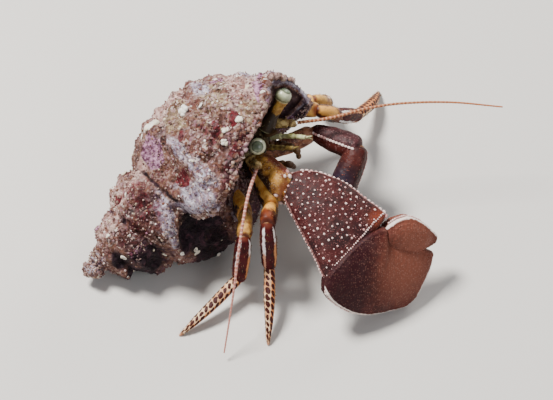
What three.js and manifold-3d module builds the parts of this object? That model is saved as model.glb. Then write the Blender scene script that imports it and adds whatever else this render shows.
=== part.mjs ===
// Widehand hermit crab in an encrusted dogwinkle shell, life size, standing still.
//
// Millimetres, +Z up. The crab looks towards +X, turned a little towards -Y, and the shell
// lies behind it. Every sub-part is one closed solid. A solid is described by lofts, each a
// row of rings with the same number of points. Where two sub-parts would touch, the later
// one of the list is cut back by GAP, and whatever would reach under the floor is cut flat.

import * as THREE from 'three';
import { mergeVertices } from 'three/addons/utils/BufferGeometryUtils.js';
import Module from 'manifold-3d';

const wasm = await Module();
wasm.setup();

// ---------------------------------------------------------------- driving dimensions

const GAP = 0.3; // clearance between neighbouring sub-parts
const FLAT = 0.25; // how far a foot is sunk before it is cut flat on the floor

// Carriage of the body: place of the rostrum, and how the trunk is turned
const ROSTRUM = new THREE.Vector3(2.5, 26.9, 19.3);
const BODY_YAW = -26.5;
const BODY_PITCH = 5;
const BODY_ROLL = 14;

// Lengths from hip to tip: ischium, merus, carpus, propodus, dactyl
const SECOND_LEG = [4.5, 12, 6.2, 10.5, 13.5];
const THIRD_LEG = [4.5, 10.5, 5.8, 9.8, 14];
// Lengths of a cheliped: ischium, merus, carpus, hand
const MAJOR_CLAW = [4, 9.5, 15.2, 15.4];
const MINOR_CLAW = [4, 8.5, 8.5, 15];

// Height and width of the leg segments, from ischium to dactyl
const LEG_HEIGHT = [3.0, 4.2, 3.5, 3.3, 2.3];
const LEG_WIDTH = [2.6, 2.8, 2.7, 2.7, 1.9];

// Shell: apex, axis, and the direction from the axis to the edge of the lip
const APEX = new THREE.Vector3(-27, 11.8, 3);
const SHELL_AXIS = new THREE.Vector3(0.787, 0.49, 0.375).normalize();
const LIP_DIRECTION = new THREE.Vector3(0.16, -0.778, 0.609);
const SHELL_LENGTH = 47;
const WORN_TIP = 5; // the part of the spire that has worn away
const WHORL_GROWTH = 1.53; // size of a whorl over the one before it

const COLOURS = {
  crust: 0x9a7f76,
  cuticle: 0x5e2e22,
  legYellow: 0xc9962e,
  legRed: 0x7a2a1c,
  legCream: 0xd9b98e,
  flesh: 0x8a7a48,
  eye: 0xb9c6a0,
  feeler: 0xa8623a,
};

// ---------------------------------------------------------------- small geometry tools

const radians = THREE.MathUtils.degToRad;

function heading(yaw, pitch) {
  const flat = Math.cos(radians(pitch));
  return new THREE.Vector3(
    flat * Math.cos(radians(yaw)),
    flat * Math.sin(radians(yaw)),
    Math.sin(radians(pitch)),
  );
}

// A point given by amounts of several directions, added to a start
function offset(start, ...steps) {
  const point = start.clone();
  for (const [direction, amount] of steps) point.addScaledVector(direction, amount);
  return point;
}

// Straight-line interpolation in a table of [key, value] rows, flat beyond its ends
function lookUp(table, key) {
  if (key <= table[0][0]) return table[0][1];
  for (let i = 1; i < table.length; i += 1) {
    if (key <= table[i][0]) {
      const share = (key - table[i - 1][0]) / (table[i][0] - table[i - 1][0]);
      return THREE.MathUtils.lerp(table[i - 1][1], table[i][1], share);
    }
  }
  return table[table.length - 1][1];
}

// An oval ring round a centre; squareness 1 is an ellipse, lower values fill the corners
function oval(centre, up, across, height, width, sides = 10, squareness = 1) {
  const round = (value) => Math.sign(value) * Math.abs(value) ** squareness;
  return Array.from({ length: sides }, (_, i) => {
    const angle = (2 * Math.PI * (i + 0.5)) / sides;
    return offset(centre, [up, round(Math.cos(angle)) * height / 2],
      [across, round(Math.sin(angle)) * width / 2]);
  });
}

// Rings along a bowed line from a start; stations are [share of length, share of size]
function limbRings({ start, direction, side, length, height, width, stations, bow = 0, sides = 8 }) {
  const up = new THREE.Vector3().crossVectors(side, direction).normalize();
  const across = new THREE.Vector3().crossVectors(direction, up).normalize();
  return stations.map(([share, size]) => {
    const lift = 4 * bow * share * (1 - share);
    const centre = offset(start, [direction, share * length], [up, lift]);
    const slope = (4 * bow * (1 - 2 * share)) / length;
    const tilted = offset(up, [direction, -slope]).normalize();
    return oval(centre, tilted, across, height * size, width * size, sides);
  });
}

// Rings of a flat plate: stations are [along, one margin, other margin, rise, drop]
function plateRings({ origin, along, across, stations, sides = 12, edge = 0.45 }) {
  const normal = new THREE.Vector3().crossVectors(across, along).normalize();
  return stations.map(([distance, from, to, rise, drop]) => {
    const middle = (from + to) / 2;
    const half = (to - from) / 2;
    return Array.from({ length: sides }, (_, i) => {
      const angle = (2 * Math.PI * i) / sides;
      const bulge = Math.sin(angle);
      const thickness = (bulge > 0 ? rise : drop) * bulge;
      const rim = edge * Math.sign(Math.round(bulge * 1e6));
      return offset(origin, [along, distance], [across, middle + half * Math.cos(angle)],
        [normal, thickness + rim]);
    });
  });
}

// Rings widened by an amount, with the first and last pushed outwards by it too
function grown(rings, amount) {
  const centres = rings.map((ring) => ring
    .reduce((sum, point) => sum.add(point), new THREE.Vector3())
    .divideScalar(ring.length));
  return rings.map((ring, i) => {
    const shift = new THREE.Vector3();
    if (i === 0) shift.subVectors(centres[0], centres[1]).setLength(amount);
    if (i === rings.length - 1) shift.subVectors(centres[i], centres[i - 1]).setLength(amount);
    return ring.map((point) => {
      const outward = new THREE.Vector3().subVectors(point, centres[i]);
      return offset(point, [outward.normalize(), amount]).add(shift);
    });
  });
}

// A closed mesh through rings, with a fan of triangles over each end
function loft(rings) {
  const count = rings[0].length;
  const points = rings.flat();
  const faces = [];
  for (let row = 0; row + 1 < rings.length; row += 1) {
    for (let i = 0; i < count; i += 1) {
      const [a, b] = [row * count + i, row * count + ((i + 1) % count)];
      faces.push([a, b, b + count], [a, b + count, a + count]);
    }
  }
  for (const [row, flip] of [[0, true], [rings.length - 1, false]]) {
    const hub = points.length;
    const sum = rings[row].reduce((total, point) => total.add(point), new THREE.Vector3());
    points.push(sum.divideScalar(count));
    for (let i = 0; i < count; i += 1) {
      const [a, b] = [row * count + i, row * count + ((i + 1) % count)];
      faces.push(flip ? [b, a, hub] : [a, b, hub]);
    }
  }
  const volume = faces.reduce((total, [a, b, c]) => total
    + points[a].dot(new THREE.Vector3().crossVectors(points[b], points[c])), 0);
  if (volume < 0) faces.forEach((face) => face.reverse());
  const geometry = new THREE.BufferGeometry().setFromPoints(points);
  geometry.setIndex(faces.flat());
  return geometry;
}

function toSolid(geometry) {
  geometry.deleteAttribute('normal');
  geometry.deleteAttribute('uv');
  const merged = mergeVertices(geometry, 1e-4);
  return new wasm.Manifold(new wasm.Mesh({
    numProp: 3,
    vertProperties: new Float32Array(merged.attributes.position.array),
    triVerts: new Uint32Array(merged.index.array),
  }));
}

function toGeometry(solid) {
  const mesh = solid.getMesh();
  const geometry = new THREE.BufferGeometry();
  geometry.setAttribute('position', new THREE.BufferAttribute(mesh.vertProperties, 3));
  geometry.setIndex(new THREE.BufferAttribute(mesh.triVerts, 1));
  geometry.computeVertexNormals();
  return geometry;
}

// ---------------------------------------------------------------- list of sub-parts

const pieces = [];

// Adds a sub-part; the ones added first keep their whole shape
function addPiece(name, colour, lofts, hollows = []) {
  pieces.push({ name, colour, lofts, hollows });
}

const forward = heading(BODY_YAW, BODY_PITCH);
const level = heading(BODY_YAW + 90, 0);
const left = level.clone().applyAxisAngle(forward, radians(BODY_ROLL));
const upward = new THREE.Vector3().crossVectors(forward, left);

// A point of the trunk: ahead of the rostrum, to its left and above it
function trunkPoint(ahead, toLeft, above) {
  return offset(ROSTRUM, [forward, ahead], [left, toLeft], [upward, above]);
}

// ---------------------------------------------------------------- legs and chelipeds

// Joints of a limb from its hip: one point more than there are segments
function limbJoints(hip, lengths, angles) {
  const joints = [hip];
  angles.forEach(([yaw, pitch], i) => {
    joints.push(offset(joints[i], [heading(yaw, pitch), lengths[i]]));
  });
  return joints;
}

const SEGMENT_NAMES = ['ischium', 'merus', 'carpus', 'propodus', 'dactyl'];
const SEGMENT_STATIONS = [
  [[-0.15, 0.6], [0.1, 0.95], [0.7, 1], [1.1, 0.8]],
  [[-0.04, 0.55], [0.08, 0.82], [0.35, 0.98], [0.75, 1], [0.95, 0.92], [1.03, 0.66]],
  [[-0.1, 0.5], [0.08, 0.74], [0.4, 0.95], [0.8, 1], [1.05, 0.72]],
  [[-0.05, 0.55], [0.08, 0.86], [0.4, 1], [0.8, 0.94], [0.97, 0.84], [1.02, 0.6]],
  [[-0.04, 0.6], [0.07, 0.96], [0.35, 0.98], [0.65, 0.78], [0.88, 0.46], [1, 0.22]],
];
const SEGMENT_BOW = [0, 0, 0.25, 0.1, 0.7];
const SEGMENT_COLOURS = ['legYellow', 'legYellow', 'legRed', 'legRed', 'legCream'];

// One walking leg, from its hip to the floor; the foremost sub-part is the dactyl
function addWalkingLeg(leg, hip, lengths, angles) {
  const joints = limbJoints(hip, lengths, angles);
  const thigh = heading(...angles[1]);
  const shin = heading(...angles[3]);
  const side = new THREE.Vector3().crossVectors(shin, thigh).normalize();
  for (let i = lengths.length - 1; i >= 0; i -= 1) {
    addPiece(`${leg}_${SEGMENT_NAMES[i]}`, SEGMENT_COLOURS[i], [limbRings({
      start: joints[i],
      direction: heading(...angles[i]),
      side,
      length: lengths[i],
      height: LEG_HEIGHT[i],
      width: LEG_WIDTH[i],
      stations: SEGMENT_STATIONS[i],
      bow: SEGMENT_BOW[i],
    })]);
  }
}

// Eyes, feelers and mouthparts are added first, so that nothing cuts into them

const EYE_DIAMETER = 2.8;
const EYESTALK_DIAMETER = 2.52;
const EYES = {
  r: { base: trunkPoint(-0.6, -1.4, 0.5), tip: new THREE.Vector3(1.3, 22.0, 23.3) },
  l: { base: trunkPoint(-0.6, 1.4, 0.5), tip: new THREE.Vector3(5.5, 30.9, 25.8) },
};
// Rings of the cornea, by height over its centre as a share of its radius
const CORNEA_HEIGHTS = [-0.55, -0.2, 0.2, 0.6, 0.9];
const EYESTALK_STATIONS = [[0, 1.25], [0.15, 1.1], [0.5, 0.78], [0.8, 0.84], [1, 0.98]];

for (const [side, { base, tip }] of Object.entries(EYES)) {
  const stalk = new THREE.Vector3().subVectors(tip, base);
  const direction = stalk.clone().normalize();
  const radius = EYE_DIAMETER / 2;
  const cornea = CORNEA_HEIGHTS.map((rise) => [
    (rise * radius) / stalk.length(),
    Math.sqrt(1 - rise * rise),
  ]);
  addPiece(`eye_${side}`, 'eye', [limbRings({
    start: tip, direction, side: left, length: stalk.length(), sides: 10,
    height: EYE_DIAMETER, width: EYE_DIAMETER, stations: cornea,
  })]);
  addPiece(`eyestalk_${side}`, 'flesh', [limbRings({
    start: base, direction, side: left, length: stalk.length(),
    height: EYESTALK_DIAMETER, width: EYESTALK_DIAMETER, stations: EYESTALK_STATIONS,
  })]);
}

// Rings along a smooth line through points; the radius falls from the first to the last
function feelerRings(points, firstRadius, lastRadius, steps, sides = 6) {
  const line = new THREE.CatmullRomCurve3(points);
  return Array.from({ length: steps + 1 }, (_, i) => {
    const share = i / steps;
    const direction = line.getTangentAt(share);
    const up = new THREE.Vector3().crossVectors(direction, left).normalize();
    const across = new THREE.Vector3().crossVectors(direction, up);
    const size = 2 * THREE.MathUtils.lerp(firstRadius, lastRadius, share);
    return oval(line.getPointAt(share), up, across, size, size, sides);
  });
}

const ANTENNULES = {
  r: [trunkPoint(0.3, -0.9, -0.6), trunkPoint(3.4, -1.0, 0.9), trunkPoint(6.4, -0.9, 2.3)],
  l: [trunkPoint(0.3, 0.9, -0.6), trunkPoint(3.4, 1.5, 0.7), trunkPoint(7.6, 1.6, 2.4)],
};
const ANTENNULE_RADII = [0.5, 0.36];
for (const [side, points] of Object.entries(ANTENNULES)) {
  addPiece(`antennule_${side}`, 'flesh', [feelerRings(points, ...ANTENNULE_RADII, 4)]);
}

const ANTENNAE = {
  r: {
    peduncle: [trunkPoint(-1.6, -3.2, -1.4), trunkPoint(0.2, -4.6, -1.0),
      new THREE.Vector3(1.2, 18.9, 22.0)],
    lash: [new THREE.Vector3(1.1, 18.3, 21.9), new THREE.Vector3(-0.4, 12.0, 21.4),
      new THREE.Vector3(-1.6, 6.0, 17.4), new THREE.Vector3(-2.5, 1.6, 11.6),
      new THREE.Vector3(-3.4, -1.6, 6.2), new THREE.Vector3(-4.2, -4.4, 1.9)],
  },
  l: {
    peduncle: [trunkPoint(-1.6, 3.4, -1.2), trunkPoint(1.2, 4.0, -0.4),
      new THREE.Vector3(7.4, 30.4, 19.4)],
    lash: [new THREE.Vector3(7.9, 30.6, 19.4), new THREE.Vector3(13.6, 31.6, 19.5),
      new THREE.Vector3(19.4, 33.2, 20.0), new THREE.Vector3(25.4, 34.2, 20.2),
      new THREE.Vector3(33.6, 34.8, 19.8), new THREE.Vector3(42.4, 35.0, 18.4)],
  },
};
const PEDUNCLE_RADII = [1.2, 0.7];
const LASH_RADII = [0.32, 0.26];
for (const [side, { peduncle, lash }] of Object.entries(ANTENNAE)) {
  addPiece(`antenna_${side}`, 'feeler', [feelerRings(lash, ...LASH_RADII, 10)]);
  addPiece(`antenna_base_${side}`, 'flesh', [feelerRings(peduncle, ...PEDUNCLE_RADII, 4, 8)]);
}

const MAXILLIPED_RADII = [1.15, 0.5];
for (const [side, sign] of [['r', -1], ['l', 1]]) {
  addPiece(`maxilliped_${side}`, 'flesh', [feelerRings([
    trunkPoint(-2.4, 1.6 * sign, -5.4),
    trunkPoint(1.6, 1.9 * sign, -4.4),
    trunkPoint(4.4, 1.5 * sign, -3.2),
    trunkPoint(5.0, 0.9 * sign, -5.0),
  ], ...MAXILLIPED_RADII, 6)]);
}

// Walking legs: angles are the yaw and pitch of each segment
addWalkingLeg('leg2_r', trunkPoint(-6.5, -4, -5.5), SECOND_LEG,
  [[-3, 34], [-71, 0], [-98, 25], [-31, -88], [-91, -30]]);
addWalkingLeg('leg3_r', trunkPoint(-9, -4.3, -5.5), THIRD_LEG,
  [[-55, -31], [-70, 20], [-92, 10], [-141, -83], [-138, -18]]);
addWalkingLeg('leg2_l', trunkPoint(-6.5, 4, -5.5), SECOND_LEG,
  [[72, 4], [-23, 19], [41, -47], [61, -45], [69, -28]]);
addWalkingLeg('leg3_l', trunkPoint(-9, 4.3, -5.5), THIRD_LEG,
  [[31, -26], [19, 5], [58, -54], [91, -44], [170, -7]]);

// The major cheliped: a broad triangular carpus and a flat fan of a hand
const majorAngles = [[-25, 33], [-60, 9], [-39, -15], [21, -27.5]];
const majorJoints = limbJoints(trunkPoint(-4, -3, -5), MAJOR_CLAW, majorAngles);
const majorCarpus = {
  origin: majorJoints[2],
  along: heading(...majorAngles[2]),
  across: new THREE.Vector3(-0.66, -0.667, -0.347),
};
addPiece('claw_r_carpus', 'cuticle', [plateRings({
  ...majorCarpus,
  stations: [
    [-1.6, -3.2, -0.6, 0.5, 1.6],
    [0.2, -4.9, 1.2, 1.1, 2.6],
    [3, -6.3, 2.5, 1.6, 3.1],
    [6.5, -7.3, 3.9, 1.8, 3.2],
    [11, -7.5, 5.7, 1.6, 2.9],
    [14.2, -7.7, 7.0, 0.9, 2.2],
    [15.1, -7.4, 7.0, 0.3, 1.6],
  ],
})]);

const hand = {
  origin: majorJoints[3],
  along: heading(...majorAngles[3]),
  across: new THREE.Vector3(-0.195, -0.61, -0.767),
};
addPiece('claw_r_dactyl', 'cuticle', [plateRings({
  ...hand,
  stations: [
    [4.9, -4.6, -1.8, 0.9, 1.2],
    [6.3, -6.0, -1.6, 1.3, 1.4],
    [8.3, -6.5, -1.5, 1.4, 1.4],
    [10.2, -6.1, -1.4, 1.2, 1.2],
    [12.6, -5.1, -1.4, 0.9, 0.9],
    [14.0, -4.1, -1.7, 0.5, 0.5],
    [15.3, -3.3, -2.6, 0.1, 0.1],
  ],
})]);
addPiece('claw_r_palm', 'cuticle', [plateRings({
  ...hand,
  stations: [
    [-5.1, 4.5, 7.2, 0.3, 1.0],
    [-3.8, 2.6, 8.4, 0.8, 1.9],
    [-1.2, -0.8, 9.8, 1.3, 2.6],
    [1.8, -3.4, 10.6, 1.8, 3.0],
    [4.2, -4.3, 10.7, 2.0, 3.0],
    [4.7, -1.2, 10.6, 2.0, 2.9],
    [8, -0.9, 10.0, 1.8, 2.4],
    [11, -0.8, 9.2, 1.5, 1.9],
    [13, -0.8, 7.6, 1.1, 1.3],
    [14.2, -0.8, 4.4, 0.7, 0.7],
    [15.2, -0.5, 1.0, 0.1, 0.1],
  ],
})]);
addPiece('claw_r_merus', 'cuticle', [limbRings({
  start: majorJoints[1], direction: heading(...majorAngles[1]), side: left,
  length: MAJOR_CLAW[1], height: 7.2, width: 5,
  stations: [[-0.05, 0.5], [0.12, 0.72], [0.45, 0.95], [0.85, 1], [1.02, 0.7]],
})]);
addPiece('claw_r_ischium', 'cuticle', [limbRings({
  start: majorJoints[0], direction: heading(...majorAngles[0]), side: left,
  length: MAJOR_CLAW[0], height: 4.4, width: 4,
  stations: [[-0.2, 0.7], [0.3, 1], [1.1, 0.8]],
})]);

// The minor cheliped: slimmer, with a crest along its carpus
const minorAngles = [[-51, -34], [25, 10], [-27, 0], [-119, -37]];
const minorJoints = limbJoints(trunkPoint(-4, 3, -5), MINOR_CLAW, minorAngles);
const minorHand = heading(...minorAngles[3]);
const minorSide = new THREE.Vector3().crossVectors(minorHand, heading(...minorAngles[2])).normalize();
const minorAcross = new THREE.Vector3().crossVectors(minorSide, minorHand).normalize();
addPiece('claw_l_dactyl', 'cuticle', [plateRings({
  origin: minorJoints[3], along: minorHand, across: minorAcross,
  stations: [
    [7.4, -2.2, -0.7, 0.8, 0.8],
    [9.2, -2.3, -0.6, 0.9, 0.9],
    [12.4, -1.8, -0.6, 0.6, 0.6],
    [14.8, -0.9, -0.5, 0.1, 0.1],
  ],
  sides: 10,
})]);
addPiece('claw_l_palm', 'cuticle', [plateRings({
  origin: minorJoints[3], along: minorHand, across: minorAcross,
  stations: [
    [-0.6, -1.4, 1.2, 0.8, 0.8],
    [1.2, -2.1, 1.8, 1.6, 1.6],
    [5, -2.4, 2.1, 1.8, 1.8],
    [7, -2.3, 2.1, 1.7, 1.7],
    [7.5, -0.1, 2.1, 1.5, 1.5],
    [11, -0.1, 1.7, 1.0, 1.0],
    [15, 0, 0.5, 0.2, 0.2],
  ],
  sides: 10,
})]);
addPiece('claw_l_carpus', 'cuticle', [limbRings({
  start: minorJoints[2], direction: heading(...minorAngles[2]), side: minorSide,
  length: MINOR_CLAW[2], height: 4.4, width: 4.0,
  stations: [[-0.08, 0.5], [0.15, 0.8], [0.6, 1], [0.9, 0.95], [1.04, 0.6]],
})]);
addPiece('claw_l_merus', 'cuticle', [limbRings({
  start: minorJoints[1], direction: heading(...minorAngles[1]), side: left,
  length: MINOR_CLAW[1], height: 3.8, width: 3.1,
  stations: [[-0.05, 0.5], [0.12, 0.75], [0.5, 1], [0.85, 0.95], [1.02, 0.6]],
})]);
addPiece('claw_l_ischium', 'cuticle', [limbRings({
  start: minorJoints[0], direction: heading(...minorAngles[0]), side: left,
  length: MINOR_CLAW[0], height: 3.6, width: 3.2,
  stations: [[-0.2, 0.7], [0.3, 1], [1.1, 0.8]],
})]);

// ---------------------------------------------------------------- shield and thorax

const TRUNK_SQUARENESS = 0.8;

// Rows are [behind the rostrum, width, height, middle above the rostrum]
function trunkRings(rows, sides) {
  return rows.map(([behind, width, height, above]) => (
    oval(trunkPoint(-behind, 0, above), upward, left, height, width, sides, TRUNK_SQUARENESS)));
}

addPiece('shield', 'flesh', [trunkRings([
  [-0.8, 1.2, 0.6, 0],
  [0.6, 5.2, 1.6, -0.5],
  [2.2, 7.6, 2.3, -0.7],
  [8, 8.8, 2.8, -0.8],
  [11.5, 6.4, 1.8, -1.2],
], 10)]);
addPiece('thorax', 'flesh', [trunkRings([
  [0.6, 3.6, 2.6, -3.6],
  [2, 6.4, 4.4, -4.2],
  [9, 8.4, 5.6, -4.9],
  [13, 6.6, 4.6, -4.6],
], 10)]);

// ---------------------------------------------------------------- shell

// Distance from the axis of one whorl of full size, by distance from the tip of the spire
const WHORL_PROFILE = [
  [23, 9.2], [26, 12.6], [29, 15.0], [32, 16.1], [36, 16.4],
  [40, 16.3], [44, 15.0], [48, 12.0], [51, 8.4], [52.5, 5.6],
];
const WHORLS = 6;
const COLUMELLA = 1.2; // radius of the shell's core
// How much of the width the worn tip has left, by distance from the apex
const TIP_WEAR = [[-0.8, 0.45], [0.6, 0.75], [2.6, 0.55], [4.4, 1]];
// Degrees by which the lip is ahead, by distance from the apex; it leaves room for the eyes
const LIP_SLANT = [
  [22, 9], [28, -2], [33, -14], [37, -21], [39.5, -27], [41.5, -36], [43, -50], [45, -50], [48, -40],
];
const outwardNormal = new THREE.Vector3().crossVectors(SHELL_AXIS, LIP_DIRECTION).normalize();
const lipDirection = new THREE.Vector3().crossVectors(outwardNormal, SHELL_AXIS).normalize();

// Ridges, swellings and hollows of the outside: [height, degrees behind the lip, distance from
// the apex, half width, length over width, slant of the length from round the shell in degrees]
const FORMS = [
  [-1.0, 228, 18, 8],
  [1.2, 105, 40, 7],
  [1.0, 150, 30, 5],
  [-2.4, 322, 28, 8],
  [0.9, 200, 20, 4],
  [0.8, 260, 30, 5],
  [-0.3, 108, 24, 5, 2.0, 90],
  [-0.9, 105, 6.5, 2.4],
  [1.7, 42, 23.8, 1.1, 4.6], // spiral ridge above the crease
  [-1.2, 38, 21.3, 1.1, 2.8], // groove under it
  [1.9, 6, 21.8, 2.5, 1.4, -20], // flap that hangs from it
  [-3.2, 336, 18.6, 3.7, 1.3, 20], // hollow under the flap
  [-1.6, 10, 17.7, 1.7, 1.4],
  [-1.2, 296, 19.0, 3.6],
  [1.5, 350, 14.6, 1.3, 4.0, 7], // second spiral ridge
  [-1.2, 54, 21.8, 1.1, 3.6, 58], // crease
  [-1.0, 322, 10.8, 1.7, 1.8],
  [0.8, 2, 8.2, 1.6, 1.6],
  [0.9, 76, 22.6, 2.2],
  [1.0, 36, 45.0, 1.8], // knob at the front end of the lip
];
const LUMP_HEIGHT = 0.7; // lumps all over the outside, apart from the part that it rests on
const LUMP_SIZE = 5.6;
const FOOT = [245, 22, 14]; // degrees behind the lip, distance from the apex, reach

// How far a place is from the middle of an oval form, in half widths of the form
function formGap([degrees, place, width, length = 1, slant = 0], turn, distance, radius) {
  const swing = turn - degrees / 360;
  const around = (swing - Math.round(swing)) * 2 * Math.PI * radius;
  const behind = distance - place;
  const [cosine, sine] = [Math.cos(radians(slant)), Math.sin(radians(slant))];
  const along = (around * cosine + behind * sine) / length;
  return Math.hypot(along, behind * cosine - around * sine) / width;
}

// Radius of the outside at an angle behind the lip (in whorls) and a distance from the apex
function shellRadius(turn, distance) {
  let radius = COLUMELLA * lookUp(TIP_WEAR, distance);
  for (let whorl = 0; whorl < WHORLS; whorl += 1) {
    const scale = WHORL_GROWTH ** -(turn + whorl);
    const height = (distance + WORN_TIP) / scale;
    const [first, last] = [WHORL_PROFILE[0][0], WHORL_PROFILE[WHORL_PROFILE.length - 1][0]];
    if (height >= first && height <= last) {
      radius = Math.max(radius, scale * lookUp(WHORL_PROFILE, height) * lookUp(TIP_WEAR, distance));
    }
  }
  const clean = radius;
  for (const [height, degrees, place, width, length, slant] of FORMS) {
    radius += height * Math.exp(-(formGap([degrees, place, width, length, slant],
      turn, distance, clean) ** 2));
  }
  const wave = shellPoint(turn, distance, clean).multiplyScalar((2 * Math.PI) / LUMP_SIZE);
  const foot = formGap(FOOT, turn, distance, clean);
  const lump = Math.sin(wave.x) * Math.sin(wave.y) * Math.sin(wave.z);
  return Math.max(radius + LUMP_HEIGHT * (lump - 0.5) * (1 - Math.exp(-(foot ** 4))), 0.4);
}

// A point at an angle behind the lip, in whorls
function shellPoint(turn, distance, radius) {
  const slant = radians(lookUp(LIP_SLANT, distance)) * (1 - turn);
  const angle = slant - turn * 2 * Math.PI;
  return offset(APEX, [SHELL_AXIS, distance], [lipDirection, radius * Math.cos(angle)],
    [outwardNormal, radius * Math.sin(angle)]);
}

const SHELL_SIDES = 36;
const SHELL_STATIONS = 28;
const SHELL_TIP = -0.8; // how far the rounded tip reaches beyond the apex
const shellRings = Array.from({ length: SHELL_STATIONS + 1 }, (_, row) => {
  const distance = THREE.MathUtils.lerp(SHELL_TIP, SHELL_LENGTH, row / SHELL_STATIONS);
  return Array.from({ length: SHELL_SIDES + 1 }, (__, i) => {
    const turn = i / SHELL_SIDES;
    return shellPoint(turn, distance, shellRadius(turn, distance));
  });
});

// The mouth of the shell: the inside of the last whorl, from the lip backwards
// Its outline, as [distance from the axis, distance from the tip of the spire]
const MOUTH_OUTLINE = [
  [9.4, 25.5], [12.4, 28], [14.4, 32], [14.6, 37], [13.6, 42], [10.4, 46.5], [6.2, 50],
  [1.8, 49], [2.2, 43], [4.8, 36], [8.4, 28],
];
const MOUTH_TURNS = [-0.05, 0.06, 0.17, 0.28, 0.36];
const mouthRings = MOUTH_TURNS.map((turn) => {
  const scale = WHORL_GROWTH ** -turn;
  return MOUTH_OUTLINE.map(([radius, height]) => (
    shellPoint(turn, height * scale - WORN_TIP, radius * scale)));
});
addPiece('shell', 'crust', [shellRings], [mouthRings]);

// ---------------------------------------------------------------- fitting and meshes

const FLOOR_SIZE = 400;
const FLOOR_DEPTH = 40;
const floor = toSolid(new THREE.BoxGeometry(FLOOR_SIZE, FLOOR_SIZE, FLOOR_DEPTH)
  .translate(0, 0, FLAT - FLOOR_DEPTH / 2));

function solidOf(piece, amount) {
  let solid = null;
  for (const rings of piece.lofts) {
    const next = toSolid(loft(amount > 0 ? grown(rings, amount) : rings));
    solid = solid ? solid.add(next) : next;
  }
  for (const rings of piece.hollows) solid = solid.subtract(toSolid(loft(rings)));
  return solid;
}

function boxesMeet(a, b) {
  const [first, second] = [a.boundingBox(), b.boundingBox()];
  return [0, 1, 2].every((i) => first.min[i] < second.max[i] && second.min[i] < first.max[i]);
}

function largestBody(solid) {
  return solid.decompose().reduce((best, body) => (
    !best || body.volume() > best.volume() ? body : best), null);
}

const crab = new THREE.Group();
const fitted = [];
for (const piece of pieces) {
  let solid = solidOf(piece, 0).subtract(floor);
  for (const wide of fitted) {
    if (boxesMeet(solid, wide)) solid = solid.subtract(wide);
  }
  fitted.push(solidOf(piece, GAP));
  const material = new THREE.MeshStandardMaterial({ color: COLOURS[piece.colour], roughness: 0.6 });
  const mesh = new THREE.Mesh(toGeometry(largestBody(solid)), material);
  mesh.name = piece.name;
  crab.add(mesh);
}

// Stand on the floor, with the middle of the outline over the origin
const reach = new THREE.Box3().setFromObject(crab);
const middle = reach.getCenter(new THREE.Vector3());
crab.position.set(-middle.x, -middle.y, -FLAT);

export default crab;
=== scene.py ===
"""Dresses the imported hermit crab: an encrusted whelk shell and the crab that walks in it.

Shapes are worked out in millimetres in the animal's own space, in which the crab looks
along +X and the shell lies behind it. A mesh is moved into the frame, in metres, when its
object is made. Colours are amounts of 0 to 255 on the usual display scale.
"""

import logging
import math
from collections.abc import Callable, Iterable
from dataclasses import dataclass, field
from enum import Enum, StrEnum, auto
from functools import cache, cached_property

import bmesh
import bpy
import numpy as np
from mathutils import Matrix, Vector


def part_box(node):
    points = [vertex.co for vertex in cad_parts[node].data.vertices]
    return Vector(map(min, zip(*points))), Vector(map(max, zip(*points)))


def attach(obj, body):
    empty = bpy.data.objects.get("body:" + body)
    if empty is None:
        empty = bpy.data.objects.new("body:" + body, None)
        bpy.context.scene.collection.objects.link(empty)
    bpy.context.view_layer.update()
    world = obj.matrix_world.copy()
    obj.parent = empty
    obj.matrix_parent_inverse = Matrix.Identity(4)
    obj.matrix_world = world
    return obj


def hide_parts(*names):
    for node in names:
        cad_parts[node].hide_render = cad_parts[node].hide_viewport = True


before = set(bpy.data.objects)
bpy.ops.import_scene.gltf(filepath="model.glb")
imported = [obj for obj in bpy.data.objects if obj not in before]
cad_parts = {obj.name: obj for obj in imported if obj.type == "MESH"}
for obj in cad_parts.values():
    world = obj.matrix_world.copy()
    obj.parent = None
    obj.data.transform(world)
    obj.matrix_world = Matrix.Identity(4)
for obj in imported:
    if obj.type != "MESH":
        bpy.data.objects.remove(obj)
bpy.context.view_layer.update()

LOG = logging.getLogger("hermit_crab")
Array = np.ndarray
Colour = tuple[int, int, int]
Place = tuple[float, float, float]
Table = list[list[float]]
BODY = "root"
MILLIMETRE = 0.001


# ---- directions and tables


def unit(vectors: Array) -> Array:
    """Vectors scaled to length one along their last axis."""
    length = np.linalg.norm(vectors, axis=-1, keepdims=True)
    return vectors / np.maximum(length, 1e-12)


def heading(yaw: float, pitch: float) -> Array:
    """Unit direction from a yaw and a pitch in degrees."""
    turn, rise = math.radians(yaw), math.radians(pitch)
    return np.array([math.cos(rise) * math.cos(turn), math.cos(rise) * math.sin(turn), math.sin(rise)])


def circle(sides: int) -> Array:
    """Even angles round a full turn."""
    return np.arange(sides) * 2 * math.pi / sides


def grid(first: Array, second: Array) -> list[Array]:
    """Every pair of two rows of values, as two flat arrays."""
    return [values.ravel() for values in np.meshgrid(first, second, indexing="ij")]


def travelled(line: Array) -> Array:
    """Distance along a line at each of its points."""
    return np.concatenate([[0], np.cumsum(np.linalg.norm(np.diff(line, axis=0), axis=1))])


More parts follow.
